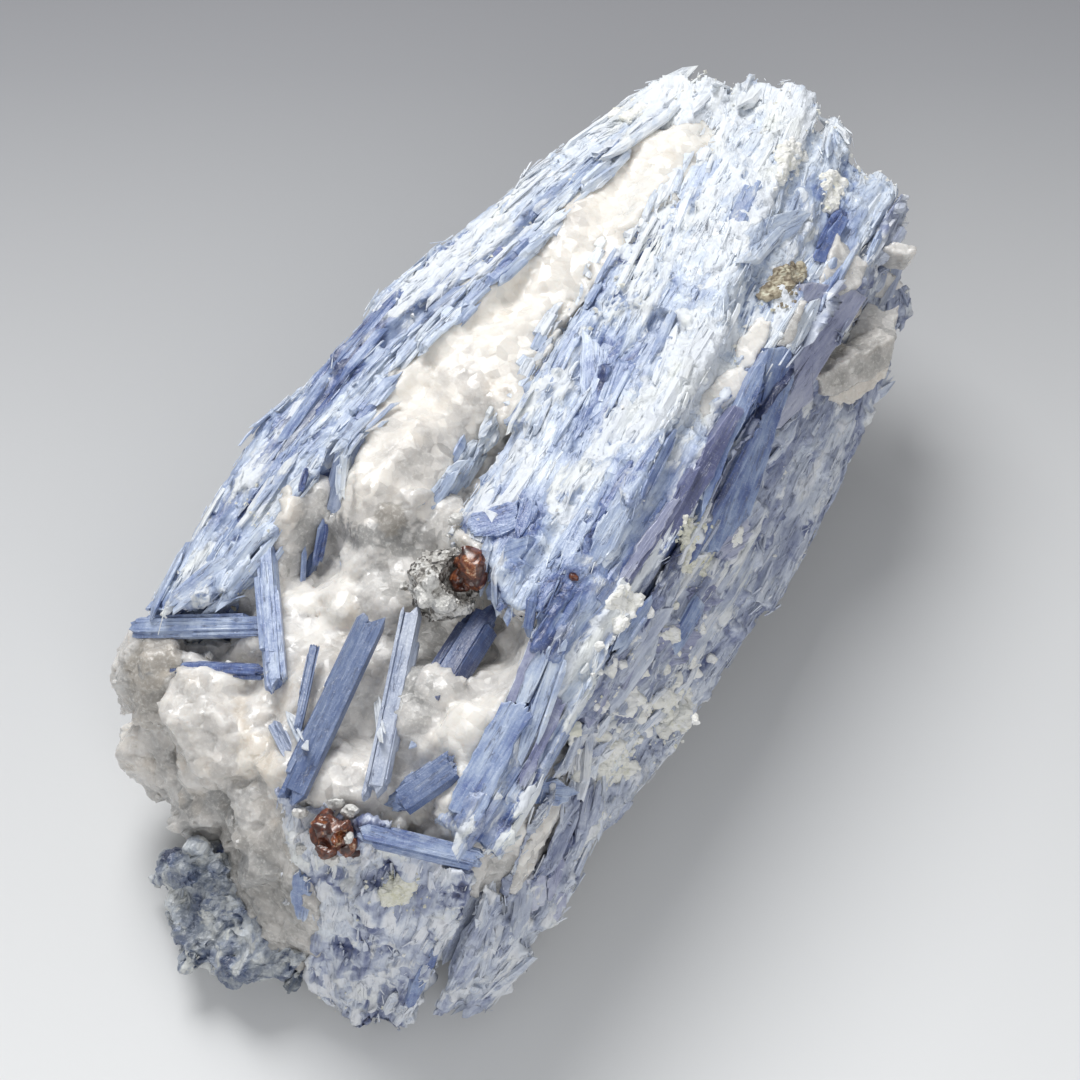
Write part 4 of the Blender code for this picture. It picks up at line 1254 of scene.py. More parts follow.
def sheaf_blades(node, ground, size, rng, stray_more, cover, shorter):
    lengths, widths, share, stray, roll, lift, section, rings = BLADE_SIZES[size]
    lengths = (lengths[0] * shorter, lengths[1] * shorter)
    typical = (lengths[0] + lengths[1]) / 2 * (widths[0] + widths[1]) / 2
    spots = ground.bare(int(ground.area * share * cover / typical), rng, 0.6)[0]
    grows, straight = growth_of(node, spots)
    eased = ground.eased(spots, 2.5 if size in ("broad", "middling") else 1.2)
    count = len(spots)
    end_on = (np.abs((eased * grows).sum(axis=1)) > 0.72) & (node in GROWTH)
    if size in ("narrow", "splinter"):
        spots, grows, straight, eased = spots[~end_on], grows[~end_on], straight[~end_on], eased[~end_on]
        count = len(spots)
        end_on = np.zeros(count, bool)
    face = np.where(end_on[:, None], unit(rng.normal(size=(count, 3))), eased)
    way = unit(grows - np.where(end_on, 0, (grows * face).sum(axis=1))[:, None] * face)
    way = turned(way, face, rng.normal(0, stray * stray_more, count))
    side = np.cross(way, face)
    way = turned(way, unit(side), rng.normal(0, 1.2 * stray_more, count))
    face = turned(face, way, rng.normal(0, roll, count))
    length = rng.uniform(*lengths, count)
    width = rng.uniform(*widths, count)
    depth = width * rng.uniform(0.3, 0.6, count)
    height = rng.uniform(*lift, count) - depth * 0.5
    outward = np.sign((eased * grows).sum(axis=1))
    middle = spots + eased * height[:, None]
    sunk = length * 0.5 - rng.uniform(0.1, 1.3, count)
    middle = np.where(end_on[:, None], spots - way * (outward * sunk)[:, None], middle)
    middle, length = kept_near(middle, way, length)
    tone = tone_at(node, spots, straight) + rng.normal(0, 0.05, count)
    chalk = chalk_at(node, spots, straight) + rng.normal(0, 0.08, count)
    dips = 0.3 if rings is TAPERED else 0.0
    return blades(middle, way, face, length, width, depth, rng, tone, chalk, section, rings, dips=dips)


# Lumps that fill the nest's hollow side: between two places in the camera's frame, share of the way, radius.
NEST_LUMPS = (
    (184, 915, 250, 925, 0.35, 2.2),
    (186, 935, 250, 948, 0.30, 2.4),
    (188, 945, 250, 958, 0.55, 2.6),
    (192, 958, 252, 966, 0.40, 2.0),
    (186, 925, 245, 935, 0.65, 2.4),
    (180, 880, 235, 900, 0.40, 2.4),
)


def nest_lumps(seed):
    rng = np.random.default_rng(seed)
    ends = [(in_view(x0, y0)[0], in_view(x1, y1)[0], share) for x0, y0, x1, y1, share, _ in NEST_LUMPS]
    middles = np.array([first * (1 - share) + last * share for first, last, share in ends])
    outs = unit(CAMERA_PLACE - middles)
    radii = np.array([lump[5] for lump in NEST_LUMPS])[:, None] * rng.uniform(0.8, 1.1, (len(ends), 3))
    tone = FRAGMENTS["low_nest"][3] + rng.normal(0.0, 0.15, len(ends))
    return stones(middles - outs * radii[:, :1] * 0.8, radii, outs, 12, rng, tone, np.zeros(len(ends)))


EVENED = 0.12  # millimetres that a body sinks, so that the blades lie on it


def core(node, voxel, seed, lumpy):
    """A sheaf's own body: cleft along its growth into long cells, with cracks between some of them."""
    grown = [fragments(node, seed + 300)] if node in FRAGMENTS else []
    if node == "low_nest":
        grown = grown + [nest_lumps(seed + 400)]
    places, normals, faces = remeshed(node, voxel, grown)
    straight = growth_of(node, places)[1]
    swirl = np.stack([clouds(places, 1.3, seed + k) for k in (11, 12, 13)], axis=1)
    jostled = straight + swirl * (1.5, 0.35, 0.35)
    long = {"front_fan": 0.5, "low_nest": 0.35}.get(node, 1.0)
    wide, wide_edge = cleft(jostled, (8.0 * long, 2.2, 2.2), seed, steps=0.6, tilts=0.4)
    slim = cleft(jostled, (4.0 * long, 0.9, 0.9), seed + 1, steps=0.5, tilts=0.4)[0]
    fine = clouds(straight * (0.6, 2.8, 2.8), 1.0, seed)
    tone = tone_at(node, places, straight)
    chalk = chalk_at(node, places, straight)
    crumbly = smooth(chalk, 0.0, 0.5) * (clouds(places, 0.8, seed + 5) + clouds(places, 0.45, seed + 6) * 0.6)
    some = clouds(straight * (0.1, 0.4, 0.4), 1.0, seed + 3)
    split = smooth(-wide_edge, -0.09, -0.02) * smooth(some, 0.1, 0.5)
    lumps = lumpy * clouds(places, 2.4, seed + 7)
    cells = wide * 0.34 + slim * 0.20
    height = cells + fine * 0.07 + crumbly * 0.20 - EVENED - split * 0.4 + lumps - covered(places)
    # Painted shade: the splits and the low valleys between the cells are painted a deeper blue, with less white
    # crust.
    valley_shade = smooth(-(cells + lumps), 0.08, 0.5)
    tone = tone + wide * 0.07 + slim * 0.05 + split * 0.3 + valley_shade * (0.16 + lumpy * 0.2)
    if grown:
        own, near = looks_of(grown, places, 0.9)
        tone = tone + (own[:, 0] - FRAGMENTS[node][3]) * near
        chalk = chalk + own[:, 1] * near
    return places + normals * height[:, None], faces, straight, look_of(tone, chalk - split - valley_shade * 0.4)


# For each: slot, finish, remeshing step, seed, how much more the blades stray, how much shorter they are,
# how lumpy it is, cover.
SHEAVES = {
    "left_sheaf": ("pale_kyanite", KYANITE, 0.37, 61, 1.0, 1.0, 0.0, 1.0),
    "main_sheaf": ("pale_kyanite", KYANITE, 0.36, 62, 1.2, 0.8, 0.1, 0.8),
    "right_sheaf": ("deep_kyanite", LILAC_KYANITE, 0.36, 63, 1.6, 0.8, 0.2, 1.0),
    "front_fan": ("pale_kyanite", LILAC_KYANITE, 0.34, 64, 2.2, 0.5, 0.6, 0.6),
    "low_nest": ("deep_kyanite", SCHIST, 0.36, 65, 4.0, 0.4, 0.5, 0.5),
}


def make_sheaves():
    for node, (slot, material, voxel, seed, stray_more, shorter, lumpy, cover) in SHEAVES.items():
        ground = Ground([node])
        rng = np.random.default_rng(seed)
        body = core(node, voxel, seed, lumpy)
        piece(node + "_core", [body], material, [node], shade_smooth=node != "low_nest")
        sizes = ("broad", "middling") if shorter > 0.6 else ("middling",)
        for kind, names in (("_blades", sizes), ("_splinters", ("narrow", "splinter"))):
            parts = [sheaf_blades(node, ground, size, rng, stray_more, cover, shorter) for size in names]
            piece(node + kind, parts, material, [node])


# The single crystals, and how deep the blue of each is.
SINGLES = {
    "long_blade": 0.66,
    "pale_blade": 0.30,
    "thin_blade": 0.58,
    "curved_blade": 0.58,
    "stub_blade": 0.45,
    "dark_blade": 0.92,
    "end_blade": 0.72,
    "ledge_blade": 0.55,
    "cross_blade": 0.80,
    "ridge_blade": 0.60,
    "short_blade": 0.40,
    "pocket_blade": 0.85,
}


# ---- Quartz -------------------------------------------------------------------------------------------
CUBE_CORNERS = np.array(list(itertools.product((-1, 1), repeat=3)))
CUBE_FACES = np.array(((0, 1, 3, 2), (4, 6, 7, 5), (0, 4, 5, 1), (2, 3, 7, 6), (0, 2, 6, 4), (1, 5, 7, 3)))


def broken_grains(middles, sizes, rng, tone, stain):
    """Angular grains, each a block with its corners knocked about."""
    count = len(middles)
    blocks = CUBE_CORNERS[None] * rng.uniform(0.45, 1.0, (count, 1, 3))
    blocks = blocks + rng.uniform(-0.4, 0.4, (count, 8, 3))
    first = unit(rng.normal(size=(count, 3)))
    second = unit(np.cross(first, rng.normal(size=(count, 3))))
    turn = np.stack([first, second, np.cross(first, second)], axis=1)
    places = middles[:, None] + np.einsum("nij,njk->nik", blocks, turn) * (sizes / 2)[:, None, None]
    faces = (CUBE_FACES[None] + np.arange(count)[:, None, None] * 8).reshape(-1, 4)
    places = places.reshape(-1, 3)
    return places, faces, places, look_of(np.repeat(tone, 8), np.repeat(stain, 8))


def broken_slabs(middles, outs, sizes, thicknesses, rng, tone, stain):
    """Flat six-cornered slabs with bevelled edges, each lying square to its way out."""
    count = len(middles)
    outs = unit(outs)
    firsts = unit(np.cross(outs, rng.normal(size=(count, 3))))
    seconds = np.cross(outs, firsts)
    angles = np.arange(6) * math.tau / 6 + rng.uniform(-0.4, 0.4, (count, 6))
    radii = sizes[:, None] / 2 * rng.uniform(0.5, 1.1, (count, 6))
    rings = []
    for share, level in ((0.78, 0.5), (1.0, 0.1), (0.85, -0.5)):
        wide = radii * share * rng.uniform(0.92, 1.05, (count, 6))
        place = middles[:, None] + firsts[:, None] * (np.cos(angles) * wide)[..., None]
        place = place + seconds[:, None] * (np.sin(angles) * wide)[..., None]
        rings.append(place + outs[:, None] * (thicknesses * level)[:, None, None])
    places = np.concatenate(rings, axis=1)
    faces = [(0, 1, 2, 3), (0, 3, 4, 5), (12, 15, 14, 13), (12, 17, 16, 15)]
    for k in range(6):
        after = (k + 1) % 6
        faces += [(6 + k, 6 + after, after, k), (12 + k, 12 + after, 6 + after, 6 + k)]
    faces = (np.array(faces)[None] + np.arange(count)[:, None, None] * 18).reshape(-1, 4)
    places = places.reshape(-1, 3)
    return places, faces, places, look_of(np.repeat(tone, 18), np.repeat(stain, 18))


STONE_SIDES = 9


def stones(middles, radii, outs, cuts, rng, tone, stain):
    """Rounded stones, each cut by this many flat faces. radii are along two ways across and the way out."""
    t = np.linspace(-1, 1, STONE_SIDES + 1)
    one, two = (grid.ravel() for grid in np.meshgrid(t, t, indexing="ij"))
    flat = np.ones_like(one)
    sheets = [(flat, one, two), (-flat, two, one), (two, flat, one)]
    sheets += [(one, -flat, two), (one, two, flat), (two, one, -flat)]
    ball = unit(np.concatenate([np.stack(sheet, axis=1) for sheet in sheets]))
    numbers = np.arange((STONE_SIDES + 1) ** 2).reshape(STONE_SIDES + 1, STONE_SIDES + 1)
    quads = squares_of(numbers)
    quads = np.concatenate([quads + k * numbers.size for k in range(6)])
    parts = []
    for middle, radius, out, own_tone, own_stain in zip(middles, radii, unit(outs), tone, stain):
        planes = unit(rng.normal(size=(cuts, 3)))
        facing = np.maximum(ball @ planes.T, 1e-6)
        reach = np.minimum(1.0, (rng.uniform(0.52, 0.86, cuts) / facing).min(axis=1))
        first = unit(np.cross(out, rng.normal(size=3)))
        turn = np.stack([first, np.cross(out, first), out])
        places = middle + (ball * reach[:, None] * radius) @ turn
        parts.append((places, quads, places, look_of(own_tone + clouds(places, 1.5, 9) * 0.08, own_stain)))
    return joined(parts)


def quartz_look(places):
    """How milky the quartz is at these places, and how stained."""
    tone = clouds(places, 5.0, 74) * 0.16 + clouds(places, 1.6, 75) * 0.12
    stain = smooth(clouds(places, 4.5, 76) * 0.6 + clouds(places, 1.2, 77) * 0.4, 0.2, 0.8)
    return tone, stain


# Where the quartz is clearer and greyer (below nothing) or whiter, as runs in the camera's frame.
QUARTZ_RUNS = (
    (575, 215, 556, 240, 2.0, -0.45),
    (470, 350, 460, 440, 0.5, -0.5),
    (470, 400, 380, 520, 5.5, -0.45),
    (375, 512, 390, 522, 2.2, -0.20),
    (330, 500, 300, 560, 3.0, -0.25),
    (150, 670, 130, 690, 2.5, -0.35),
    (420, 640, 430, 700, 4.0, -0.25),
    (180, 790, 240, 820, 5.0, -0.14),
    (250, 870, 300, 900, 4.0, -0.20),
    (340, 560, 330, 620, 3.5, 0.20),
    (440, 500, 400, 500, 2.0, 0.20),
    (470, 720, 450, 780, 3.5, 0.25),
)
# Swellings of the front, in the camera's frame: place, radius in millimetres, how proud, tone, stain.
KNOBS = (
    (150, 738, 3.6, 0.3, 0.00, 0.05),
    (205, 722, 4.2, 0.6, 0.05, 0.05),
    (222, 765, 3.4, 0.2, 0.0, 0.10),
    (165, 770, 2.8, 0.0, -0.05, 0.05),
    (150, 668, 3.2, 0.2, -0.30, 0.30),
    (208, 682, 3.0, 0.4, 0.15, 0.0),
    (252, 752, 2.4, 0.5, 0.25, 0.25),
    (270, 770, 2.2, 0.3, 0.20, 0.30),
    (250, 722, 2.2, 0.2, 0.0, 0.55),
    (200, 805, 3.6, 0.1, -0.20, 0.0),
    (248, 800, 2.6, 0.2, -0.10, 0.0),
    (420, 655, 2.0, 0.0, 0.15, 0.0),
    (440, 690, 1.8, 0.1, 0.20, 0.0),
    (420, 740, 2.0, 0.0, 0.10, 0.1),
    (345, 730, 1.6, 0.2, 0.05, 0.0),
    (276, 508, 2.4, -0.5, 0.15, 0.2),
    (370, 520, 2.4, -0.6, -0.12, 0.25),
    (466, 718, 3.2, 0.5, 0.34, 0.0),
    (474, 744, 3.4, 0.6, 0.38, 0.0),
    (345, 598, 3.0, 0.8, 0.30, 0.0),
    (310, 602, 2.4, 0.6, 0.35, 0.0),
    (334, 638, 1.8, 0.6, 0.25, 0.0),
    (362, 560, 2.8, 0.6, 0.30, 0.0),
    (420, 508, 2.4, 0.6, 0.30, 0.0),
    (402, 814, 2.4, 0.6, 0.36, 0.1),
    (500, 622, 3.0, 1.6, 0.10, 0.0),
    (516, 655, 3.0, 1.6, -0.05, 0.0),
    (492, 680, 2.4, 1.0, 0.10, 0.0),
    (150, 700, 3.2, 0.3, -0.20, 0.2),
    (268, 868, 3.4, 0.5, -0.15, 0.0),
    (280, 905, 2.8, 0.3, -0.20, 0.0),
    (195, 765, 3.0, 0.3, 0.05, 0.0),
    (180, 690, 3.0, 0.3, 0.1, 0.0),
)
QUARTZ_REACH = 1.1  # millimetres that quartz climbs at the foot of a single crystal


def make_quartz():
    rng = np.random.default_rng(75)
    ground = Ground(["quartz_matrix"])
    parts = []
    for seed, (outline, proud, evened, relief, tone, stain) in enumerate(QUARTZ_LAYERS, start=301):
        spots, faces, _ = layer(outline, proud, evened, relief, seed, 4.0)
        parts.append((spots, faces, spots, np.tile((tone, stain, 0.0), (len(spots), 1))))
    spots = all_in_view([knob[:2] for knob in KNOBS])[0]
    radius, lift, tone, stain = np.array(KNOBS).T[2:]
    radii = radius[:, None] * rng.uniform((0.95, 0.8, 0.55), (1.2, 1.0, 0.75), (len(KNOBS), 3))
    outs = unit(ground.eased(spots, 3.0) + rng.normal(0, 0.15, (len(KNOBS), 3)))
    middles = spots + outs * (lift + 0.5 - radii[:, 2] * 0.75)[:, None]
    parts.append(stones(middles, radii * 1.15, outs, 11, rng, tone, stain))
    spots, outs = ground.bare(420, rng, 0.5)
    sizes = 1.6 + 3.8 * rng.random(len(spots)) ** 2
    thick = sizes * rng.uniform(0.35, 0.6, len(spots))
    tilted = ground.eased(spots, 2.0) + rng.normal(0, 0.30, (len(spots), 3))
    middles = spots + outs * (rng.uniform(0.1, 0.5, len(spots)) - thick * 0.4)[:, None]
    own = rng.normal(0.03, 0.12, len(spots))
    parts.append(broken_slabs(middles, tilted, sizes, thick, rng, own, np.zeros(len(spots))))
    body = remeshed("quartz_matrix", 0.48, parts)
    places = body[0]
    coarse = cleft(places, 4.2, 71, steps=0.50, tilts=0.6)[0]
    middle = cleft(places, 1.7, 72, steps=0.4, tilts=0.5)[0]
    heights = (coarse * 0.50 + middle * 0.30) * (1 - 0.45 * covered(places))
    crystals = solids(SINGLES)
    nearness = np.array([crystals.find_nearest(Vector(place), 3.0)[3] or 3.0 for place in places])
    heights += np.exp(-((nearness / QUARTZ_REACH) ** 2)) * 0.7
    tone, stain = quartz_look(places)
    own, near = looks_of(parts, places, 1.2)
    tone = tone + middle * 0.06 + runs_at(places, QUARTZ_RUNS) + own[:, 0] * near
    stain = stain * 0.35 + own[:, 1] * near
    lump = lifted(body, heights, look_of(tone, stain))
    piece("quartz_body", [lump], QUARTZ, ["quartz_matrix"], shade_smooth=True)

    spots, outs = ground.bare(260, rng, 0.5)
    sizes = 0.8 + 1.8 * rng.random(len(spots)) ** 2
    thick = sizes * rng.uniform(0.25, 0.5, len(spots))
    tilted = ground.eased(spots, 2.0) + rng.normal(0, 0.28, (len(spots), 3))
    middles = spots + outs * (rng.uniform(0.0, 0.32, len(spots)) - thick * 0.4)[:, None]
    tone, stain = quartz_look(spots)
    tone = tone + rng.normal(0.06, 0.12, len(spots)) + runs_at(spots, QUARTZ_RUNS)
    slabs = broken_slabs(middles, tilted, sizes, thick, rng, tone, stain)
    spots, outs = ground.bare(900, rng, 0.5)
    sizes = 0.25 + 0.6 * rng.random(len(spots)) ** 2.2
    middles = spots + outs * (rng.uniform(-0.2, 0.4, len(spots)) * sizes)[:, None]
    tone, stain = quartz_look(spots)
    chips = broken_grains(middles, sizes, rng, tone + rng.normal(0.1, 0.1, len(spots)), stain)
    piece("quartz_slabs", [slabs, chips], QUARTZ, ["quartz_matrix"])


# ---- Crumbs of feldspar on the kyanite ----------------------------------------------------------------
# Runs in the camera's frame: from, to, half width in millimetres, how thick they lie, how stained they are.
CRUMB_RUNS = (
    (697, 535, 690, 565, 2.2, 2.0, 0.42),
    (600, 700, 700, 620, 1.5, 1.0, 0.12),
    (610, 770, 680, 730, 3.0, 1.6, 0.18),
    (640, 800, 655, 720, 2.4, 1.2, 0.22),
    (795, 290, 765, 315, 1.2, 1.6, 0.75),
    (765, 315, 700, 420, 1.4, 1.2, 0.15),
    (560, 860, 600, 800, 2.0, 1.0, 0.15),
    (395, 880, 410, 895, 2.2, 2.0, 0.45),
    (330, 870, 440, 960, 3.0, 0.6, 0.10),
    (255, 500, 290, 560, 2.4, 1.4, 0.35),
    (235, 600, 255, 560, 1.8, 1.2, 0.45),
    (440, 520, 560, 330, 0.9, 1.0, 0.10),
    (700, 80, 880, 170, 3.5, 1.4, 0.10),
    (880, 150, 900, 290, 3.0, 1.3, 0.10),
    (590, 330, 640, 230, 1.0, 0.6, 0.10),
    (420, 330, 600, 150, 0.9, 0.6, 0.20),
    (450, 850, 300, 830, 1.3, 0.9, 0.10),
    (480, 850, 440, 985, 1.2, 0.8, 0.10),
    (200, 900, 320, 990, 4.0, 0.5, 0.20),
)
CRUMB_TRIES = 30000


def make_crumbs():
    rng = np.random.default_rng(77)
    ground = Ground(["left_sheaf", "main_sheaf", "right_sheaf", "front_fan"])
    spots, outs = ground.scatter(CRUMB_TRIES, rng)
    thick = np.zeros(len(spots))
    stain = np.zeros(len(spots))
    for x0, y0, x1, y1, half, amount, tint in CRUMB_RUNS:
        near = runs_at(spots, ((x0, y0, x1, y1, half, 1.0),))
        thick += near * amount
        stain += near * amount * tint
    stain = stain / np.maximum(thick, 0.05)
    chance = thick * 0.4 + smooth(clouds(spots, 2.0, 78), 0.3, 0.9) * 0.06 + 0.008
    kept = rng.random(len(spots)) < chance * (1 - covered(spots))
    spots, outs, stain, thick = spots[kept], outs[kept], stain[kept], thick[kept]
    sizes = 0.12 + 0.36 * rng.random(len(spots)) ** 2.2
    heaped = 0.3 + 0.5 * np.minimum(thick, 1)
    middles = spots + outs * (rng.uniform(-0.1, 0.35, len(spots)) * heaped)[:, None]
    stain = stain + rng.normal(0.02, 0.08, len(spots))
    chips = broken_grains(middles, sizes, rng, np.zeros(len(spots)), stain)
    piece("feldspar_crumbs", [chips], FELDSPAR, sorted(SHEAVES))


# ---- Broad faces: single wide blades in the sheaves ---------------------------------------------------
# In the camera's frame: from, to, width and how proud in millimetres, tone, chalk.
BROAD_FACES = (
    (757, 430, 690, 560, 1.4, 0.45, 0.80, -0.2),
    (745, 405, 700, 500, 0.9, 0.55, 0.30, 0.2),
    (842, 212, 818, 262, 1.9, 0.30, 0.88, -0.4),
    (866, 262, 880, 232, 1.2, 0.50, 0.55, -0.2),
    (818, 300, 790, 350, 1.8, 0.30, 0.20, 0.1),
    (800, 300, 740, 390, 1.0, 0.50, 0.25, 0.1),
    (566, 640, 520, 760, 1.6, 0.30, 0.42, 0.0),
    (612, 352, 588, 420, 3.4, 0.05, 0.55, -0.1),
    (575, 330, 520, 430, 2.0, 0.15, 0.55, -0.1),
    (640, 470, 600, 560, 2.2, 0.15, 0.50, 0.0),
    (675, 430, 640, 500, 1.2, 0.25, 0.70, -0.1),
    (400, 290, 330, 372, 2.2, 0.15, 0.72, -0.3),
    (330, 372, 282, 440, 1.8, 0.15, 0.58, -0.2),
    (620, 150, 560, 230, 1.6, 0.20, 0.50, 0.1),
    (790, 215, 748, 262, 2.4, 0.10, 0.36, 0.1),
    (700, 600, 672, 650, 2.0, 0.30, 0.60, 0.0),
    (650, 598, 612, 650, 1.6, 0.40, 0.62, 0.0),
    (226, 560, 168, 606, 1.8, 0.30, 0.50, 0.1),
    (320, 518, 312, 562, 1.3, 0.70, 0.85, -0.4),
    (300, 548, 298, 588, 0.9, 0.80, 0.72, -0.3),
    (333, 552, 318, 592, 1.7, 0.60, 0.60, -0.2),
    (345, 560, 352, 578, 0.9, 0.60, 0.50, 0.1),
    (304, 470, 298, 492, 0.7, 0.90, 0.90, -0.4),
    (350, 450, 346, 500, 2.6, 0.60, 0.28, 0.2),
    (378, 688, 384, 742, 0.8, 0.70, 0.05, 0.3),
    (288, 712, 308, 750, 1.1, 0.60, 0.15, 0.2),
    (412, 745, 425, 738, 0.8, 0.60, 0.55, 0.0),
    (470, 690, 462, 704, 0.9, 0.60, 0.40, 0.0),
    (440, 700, 452, 690, 0.9, 0.60, 0.35, 0.1),
    (225, 850, 208, 872, 1.2, 0.60, 0.85, -0.4),
)


def make_broad_faces():
    rng = np.random.default_rng(91)
    ground = Ground(["left_sheaf", "main_sheaf", "right_sheaf", "quartz_matrix", "low_nest"])
    parts = []
    for x0, y0, x1, y1, width, proud, tone, chalk in BROAD_FACES:
        start, end = in_view(x0, y0)[0], in_view(x1, y1)[0]
        middle = (start + end) / 2
        out = ground.eased(middle[None], 3.0)[0]
        way = unit(end - start)
        middle = middle + out * (proud - width * 0.14)
        long = np.linalg.norm(end - start)
        count = 1 + int(width / 1.1)
        strewn = middle + rng.normal(0, 0.2, (count, 3))
        slats = blades(
            strewn + np.cross(way, out) * rng.uniform(-0.4, 0.4, (count, 1)) * width,
            way + rng.normal(0, 0.015, (count, 3)),
            out + rng.normal(0, 0.10, (count, 3)),
            long * rng.uniform(0.5, 1.0, count),
            width * rng.uniform(0.2, 0.5, count),
            np.full(count, width * 0.3),
            rng,
            tone + rng.normal(0, 0.06, count),
            chalk + rng.normal(0, 0.1, count),
            WIDE_SECTION,
            TAPERED,
            dips=0.2,
        )
        whole = one_blade(middle, way, out, (long, width, width * 0.28), rng, tone, chalk, TAPERED, 0.25)
        parts += [whole, slats]
    piece("broad_faces", parts, KYANITE, ["main_sheaf", "left_sheaf", "right_sheaf"])


# ---- Single crystals ----------------------------------------------------------------------------------
CRUSTED_SINGLES = ("curved_blade", "ridge_blade", "ledge_blade", "cross_blade")
LOWERED = 0.6  # millimetres that a single crystal sits deeper than its solid


def make_single(node, tone, seed):
    """A single crystal as a bundle of slats that cleaved along it."""
    rng = np.random.default_rng(seed)
    corners = skin(node)[0].reshape(-1, 3)
    middle = (corners.min(axis=0) + corners.max(axis=0)) / 2
    spread = np.unique(np.round(corners, 3), axis=0) - middle
    axes = np.linalg.svd(spread, full_matrices=False)[2]
    way = axes[0]
    face = axes[2] * np.sign(axes[2][2] + 1e-6)
    side = np.cross(way, face)
    long, wide, deep = (np.ptp(spread @ axis) for axis in (way, side, face))
    middle = middle + way * (spread @ way).mean()
    count = 10
    share = rng.uniform(-0.5, 0.5, (count, 2))
    width = rng.uniform(0.12, 0.42, count) * wide
    depth = rng.uniform(0.4, 0.8, count) * deep
    middle = middle - face * LOWERED
    length = rng.uniform(0.35, 1.0, count) * long
    slide = rng.uniform(-0.5, 0.5, count) * (long * 1.02 - length)
    places = (
        middle
        + side * (share[:, :1] * (wide - width)[:, None])
        + face * (share[:, 1:] * (deep - depth)[:, None])
        + way * slide[:, None]
    )
    ways = unit(way + rng.normal(0, 0.012, (count, 3)))
    faces = unit(face + rng.normal(0, 0.25, (count, 3)))
    tones = tone + rng.normal(0, 0.06, count)
    chalks = rng.normal(-0.2, 0.15, count)
    slats = blades(
        places, ways, faces, length, width, depth, rng, tones, chalks, WIDE_SECTION, BLUNT, 0.35, rims=0.1
    )
    size = (long * 0.96, wide * 0.66, deep * 0.92)
    heart = one_blade(middle, way, face, size, rng, tone, -0.4, BLUNT, 0.22, rims=0.1)
    material = KYANITE if node in CRUSTED_SINGLES else CLEAR_KYANITE
    piece(node + "_slats", [heart, slats], material, [node])


def make_singles():
    for seed, (node, tone) in enumerate(SINGLES.items(), start=101):
        make_single(node, tone, seed)


# ---- Garnets and rind ---------------------------------------------------------------------------------
# Each: solid; place in the camera's frame; half its length, width and height in millimetres; how many grains.
GARNETS = (
    ("front_garnet", 325, 830, (2.7, 2.2, 2.0), 7),
    ("upper_garnet", 474, 564, (1.7, 2.4, 1.8), 9),
    ("small_garnet", 571, 574, (0.5, 0.4, 0.4), 2),
)
# White crust around the garnets: place in the camera's frame, radius in millimetres, how stained.
CRUSTS = (
    (404, 566, 1.3, 0.00),
    (410, 546, 1.2, 0.05),
    (420, 530, 1.3, 0.00),
    (438, 520, 1.2, 0.05),
    (458, 520, 1.1, 0.00),
    (404, 588, 1.0, 0.25),
    (422, 600, 1.1, 0.10),
    (444, 608, 1.0, 0.10),
    (466, 612, 0.9, 0.00),
    (430, 580, 0.8, 0.05),
    (300, 812, 1.0, 0.10),
    (312, 800, 1.1, 0.00),
    (336, 802, 1.2, 0.05),
    (352, 816, 1.2, 0.00),
    (346, 838, 1.0, 0.05),
    (300, 850, 0.9, 0.05),
    (330, 856, 1.1, 0.00),
)
PIT_DEPTH = 0.5
GARNET_ROOT = (1.2, 2.0, 2.8)  # how deep the stones under a garnet sit, in its own half thicknesses


def make_garnets():
    rng = np.random.default_rng(81)
    for node, x, y, half, count in GARNETS:
        spot, out = in_view(x, y)
        first = unit(np.cross(out, (0.3, -1.0, 0.2)))
        second = np.cross(out, first)
        spread = rng.uniform(-0.55, 0.55, (count, 2)) * half[:2]
        sunk = rng.uniform(0.4, 1.2, (count, 1)) * half[2]
        middles = spot + first * spread[:, :1] + second * spread[:, 1:] - out * sunk
        radii = min(half[:2]) * rng.uniform(0.22, 0.42, (count, 3))
        radii[0] = np.array(half) * 0.95
        middles[0] = spot - out * half[2] * 0.75
        grains = stones(middles, radii, np.tile(out, (count, 1)), 14, rng, np.zeros(count), np.zeros(count))
        depths = np.array(GARNET_ROOT)[:, None] * half[2]
        wide = np.tile(np.array(half) * 0.7, (len(depths), 1))
        outs = np.tile(out, (len(depths), 1))
        root = stones(spot - out * depths, wide, outs, 14, rng, np.zeros(len(depths)), np.zeros(len(depths)))
        body = remeshed(None, 0.16, [grains, root])
        heights = cleft(body[0], 2.1, 82, steps=0.6, tilts=0.7)[0] * 0.42
        heights = heights + cleft(body[0], 0.9, 83, steps=0.4, tilts=0.5)[0] * 0.08
        lump = lifted(body, heights, np.zeros_like(body[0]))
        piece(node + "_grains", [lump], GARNET, [node], shade_smooth=True)


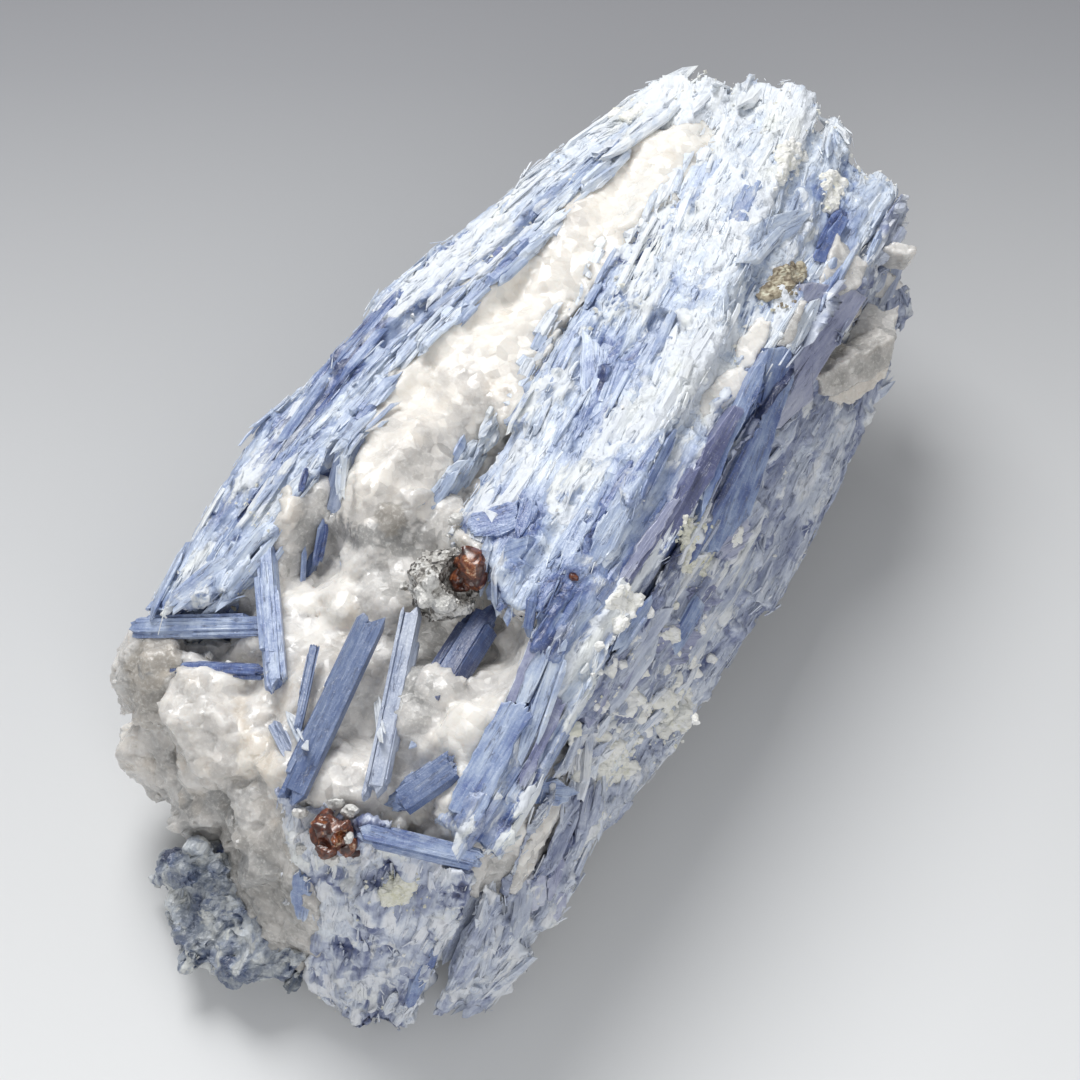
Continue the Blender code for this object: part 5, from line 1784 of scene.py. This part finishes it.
def make_rind():
    rng = np.random.default_rng(85)
    spots, outs = all_in_view([crust[:2] for crust in CRUSTS])
    radius, stain = np.array(CRUSTS).T[2:]
    radii = radius[:, None] * rng.uniform((0.8, 0.5, 0.4), (1.3, 0.9, 0.6), (len(CRUSTS), 3))
    outs = outs + rng.normal(0, 0.3, (len(CRUSTS), 3))
    middles = spots + outs * 0.2 + rng.normal(0, 0.15, (len(CRUSTS), 3))
    lumps = stones(middles, radii, outs, 12, rng, np.full(len(CRUSTS), 0.45), stain)
    body = remeshed("mica_rind", 0.2, [lumps])
    places = body[0]
    near = looks_of([lumps], places, 0.8)[1]
    heights = cleft(places, 0.9, 84, tilts=0.5)[0] * 0.22 + clouds(places, 0.45, 86) * 0.08
    heights = heights - PIT_DEPTH * (1 - near)
    crust = lifted(body, heights, look_of(near * 0.40 - 0.02, 0.0))
    piece("mica_rind_crust", [crust], MICA, ["mica_rind"], shade_smooth=True)


# ---- Stage --------------------------------------------------------------------------------------------
FLOOR_REACH = 4.0


def make_floor():
    mesh = bpy.data.meshes.new("floor")
    corners = [(x * FLOOR_REACH, y * FLOOR_REACH, 0) for x, y in ((-1, -1), (1, -1), (1, 1), (-1, 1))]
    mesh.from_pydata(corners, [], [(0, 1, 2, 3)])
    mesh.materials.append(paper_floor("matt_paper"))
    floor = bpy.data.objects.new("floor", mesh)
    bpy.context.scene.collection.objects.link(floor)


def make_light(name, place, size, watts, aim=(0.0, 0.0, 0.02)):
    lamp = bpy.data.lights.new(name, "AREA")
    lamp.shape = "DISK"
    lamp.size = size
    lamp.energy = watts
    light = bpy.data.objects.new(name, lamp)
    bpy.context.scene.collection.objects.link(light)
    light.location = place
    light.rotation_mode = "QUATERNION"
    light.rotation_quaternion = (Vector(place) - Vector(aim)).to_track_quat("Z", "Y")


def make_lights():
    world = bpy.data.worlds.new("studio")
    world.use_nodes = True
    world.node_tree.nodes["Background"].inputs["Color"].default_value = linear("F2F4F8")
    world.node_tree.nodes["Background"].inputs["Strength"].default_value = 0.36
    bpy.context.scene.world = world
    make_light("key", (-0.26, 0.20, 0.44), 0.30, 2.6)
    make_light("fill", (0.30, -0.35, 0.40), 0.50, 1.2)
    bpy.context.scene.view_settings.view_transform = "Standard"


make_camera()
make_lights()
make_floor()
make_sheaves()
make_quartz()
make_plates()
make_fringes()
make_bridge()
make_flank()
make_crumbs()
make_broad_faces()
make_singles()
make_garnets()
make_rind()
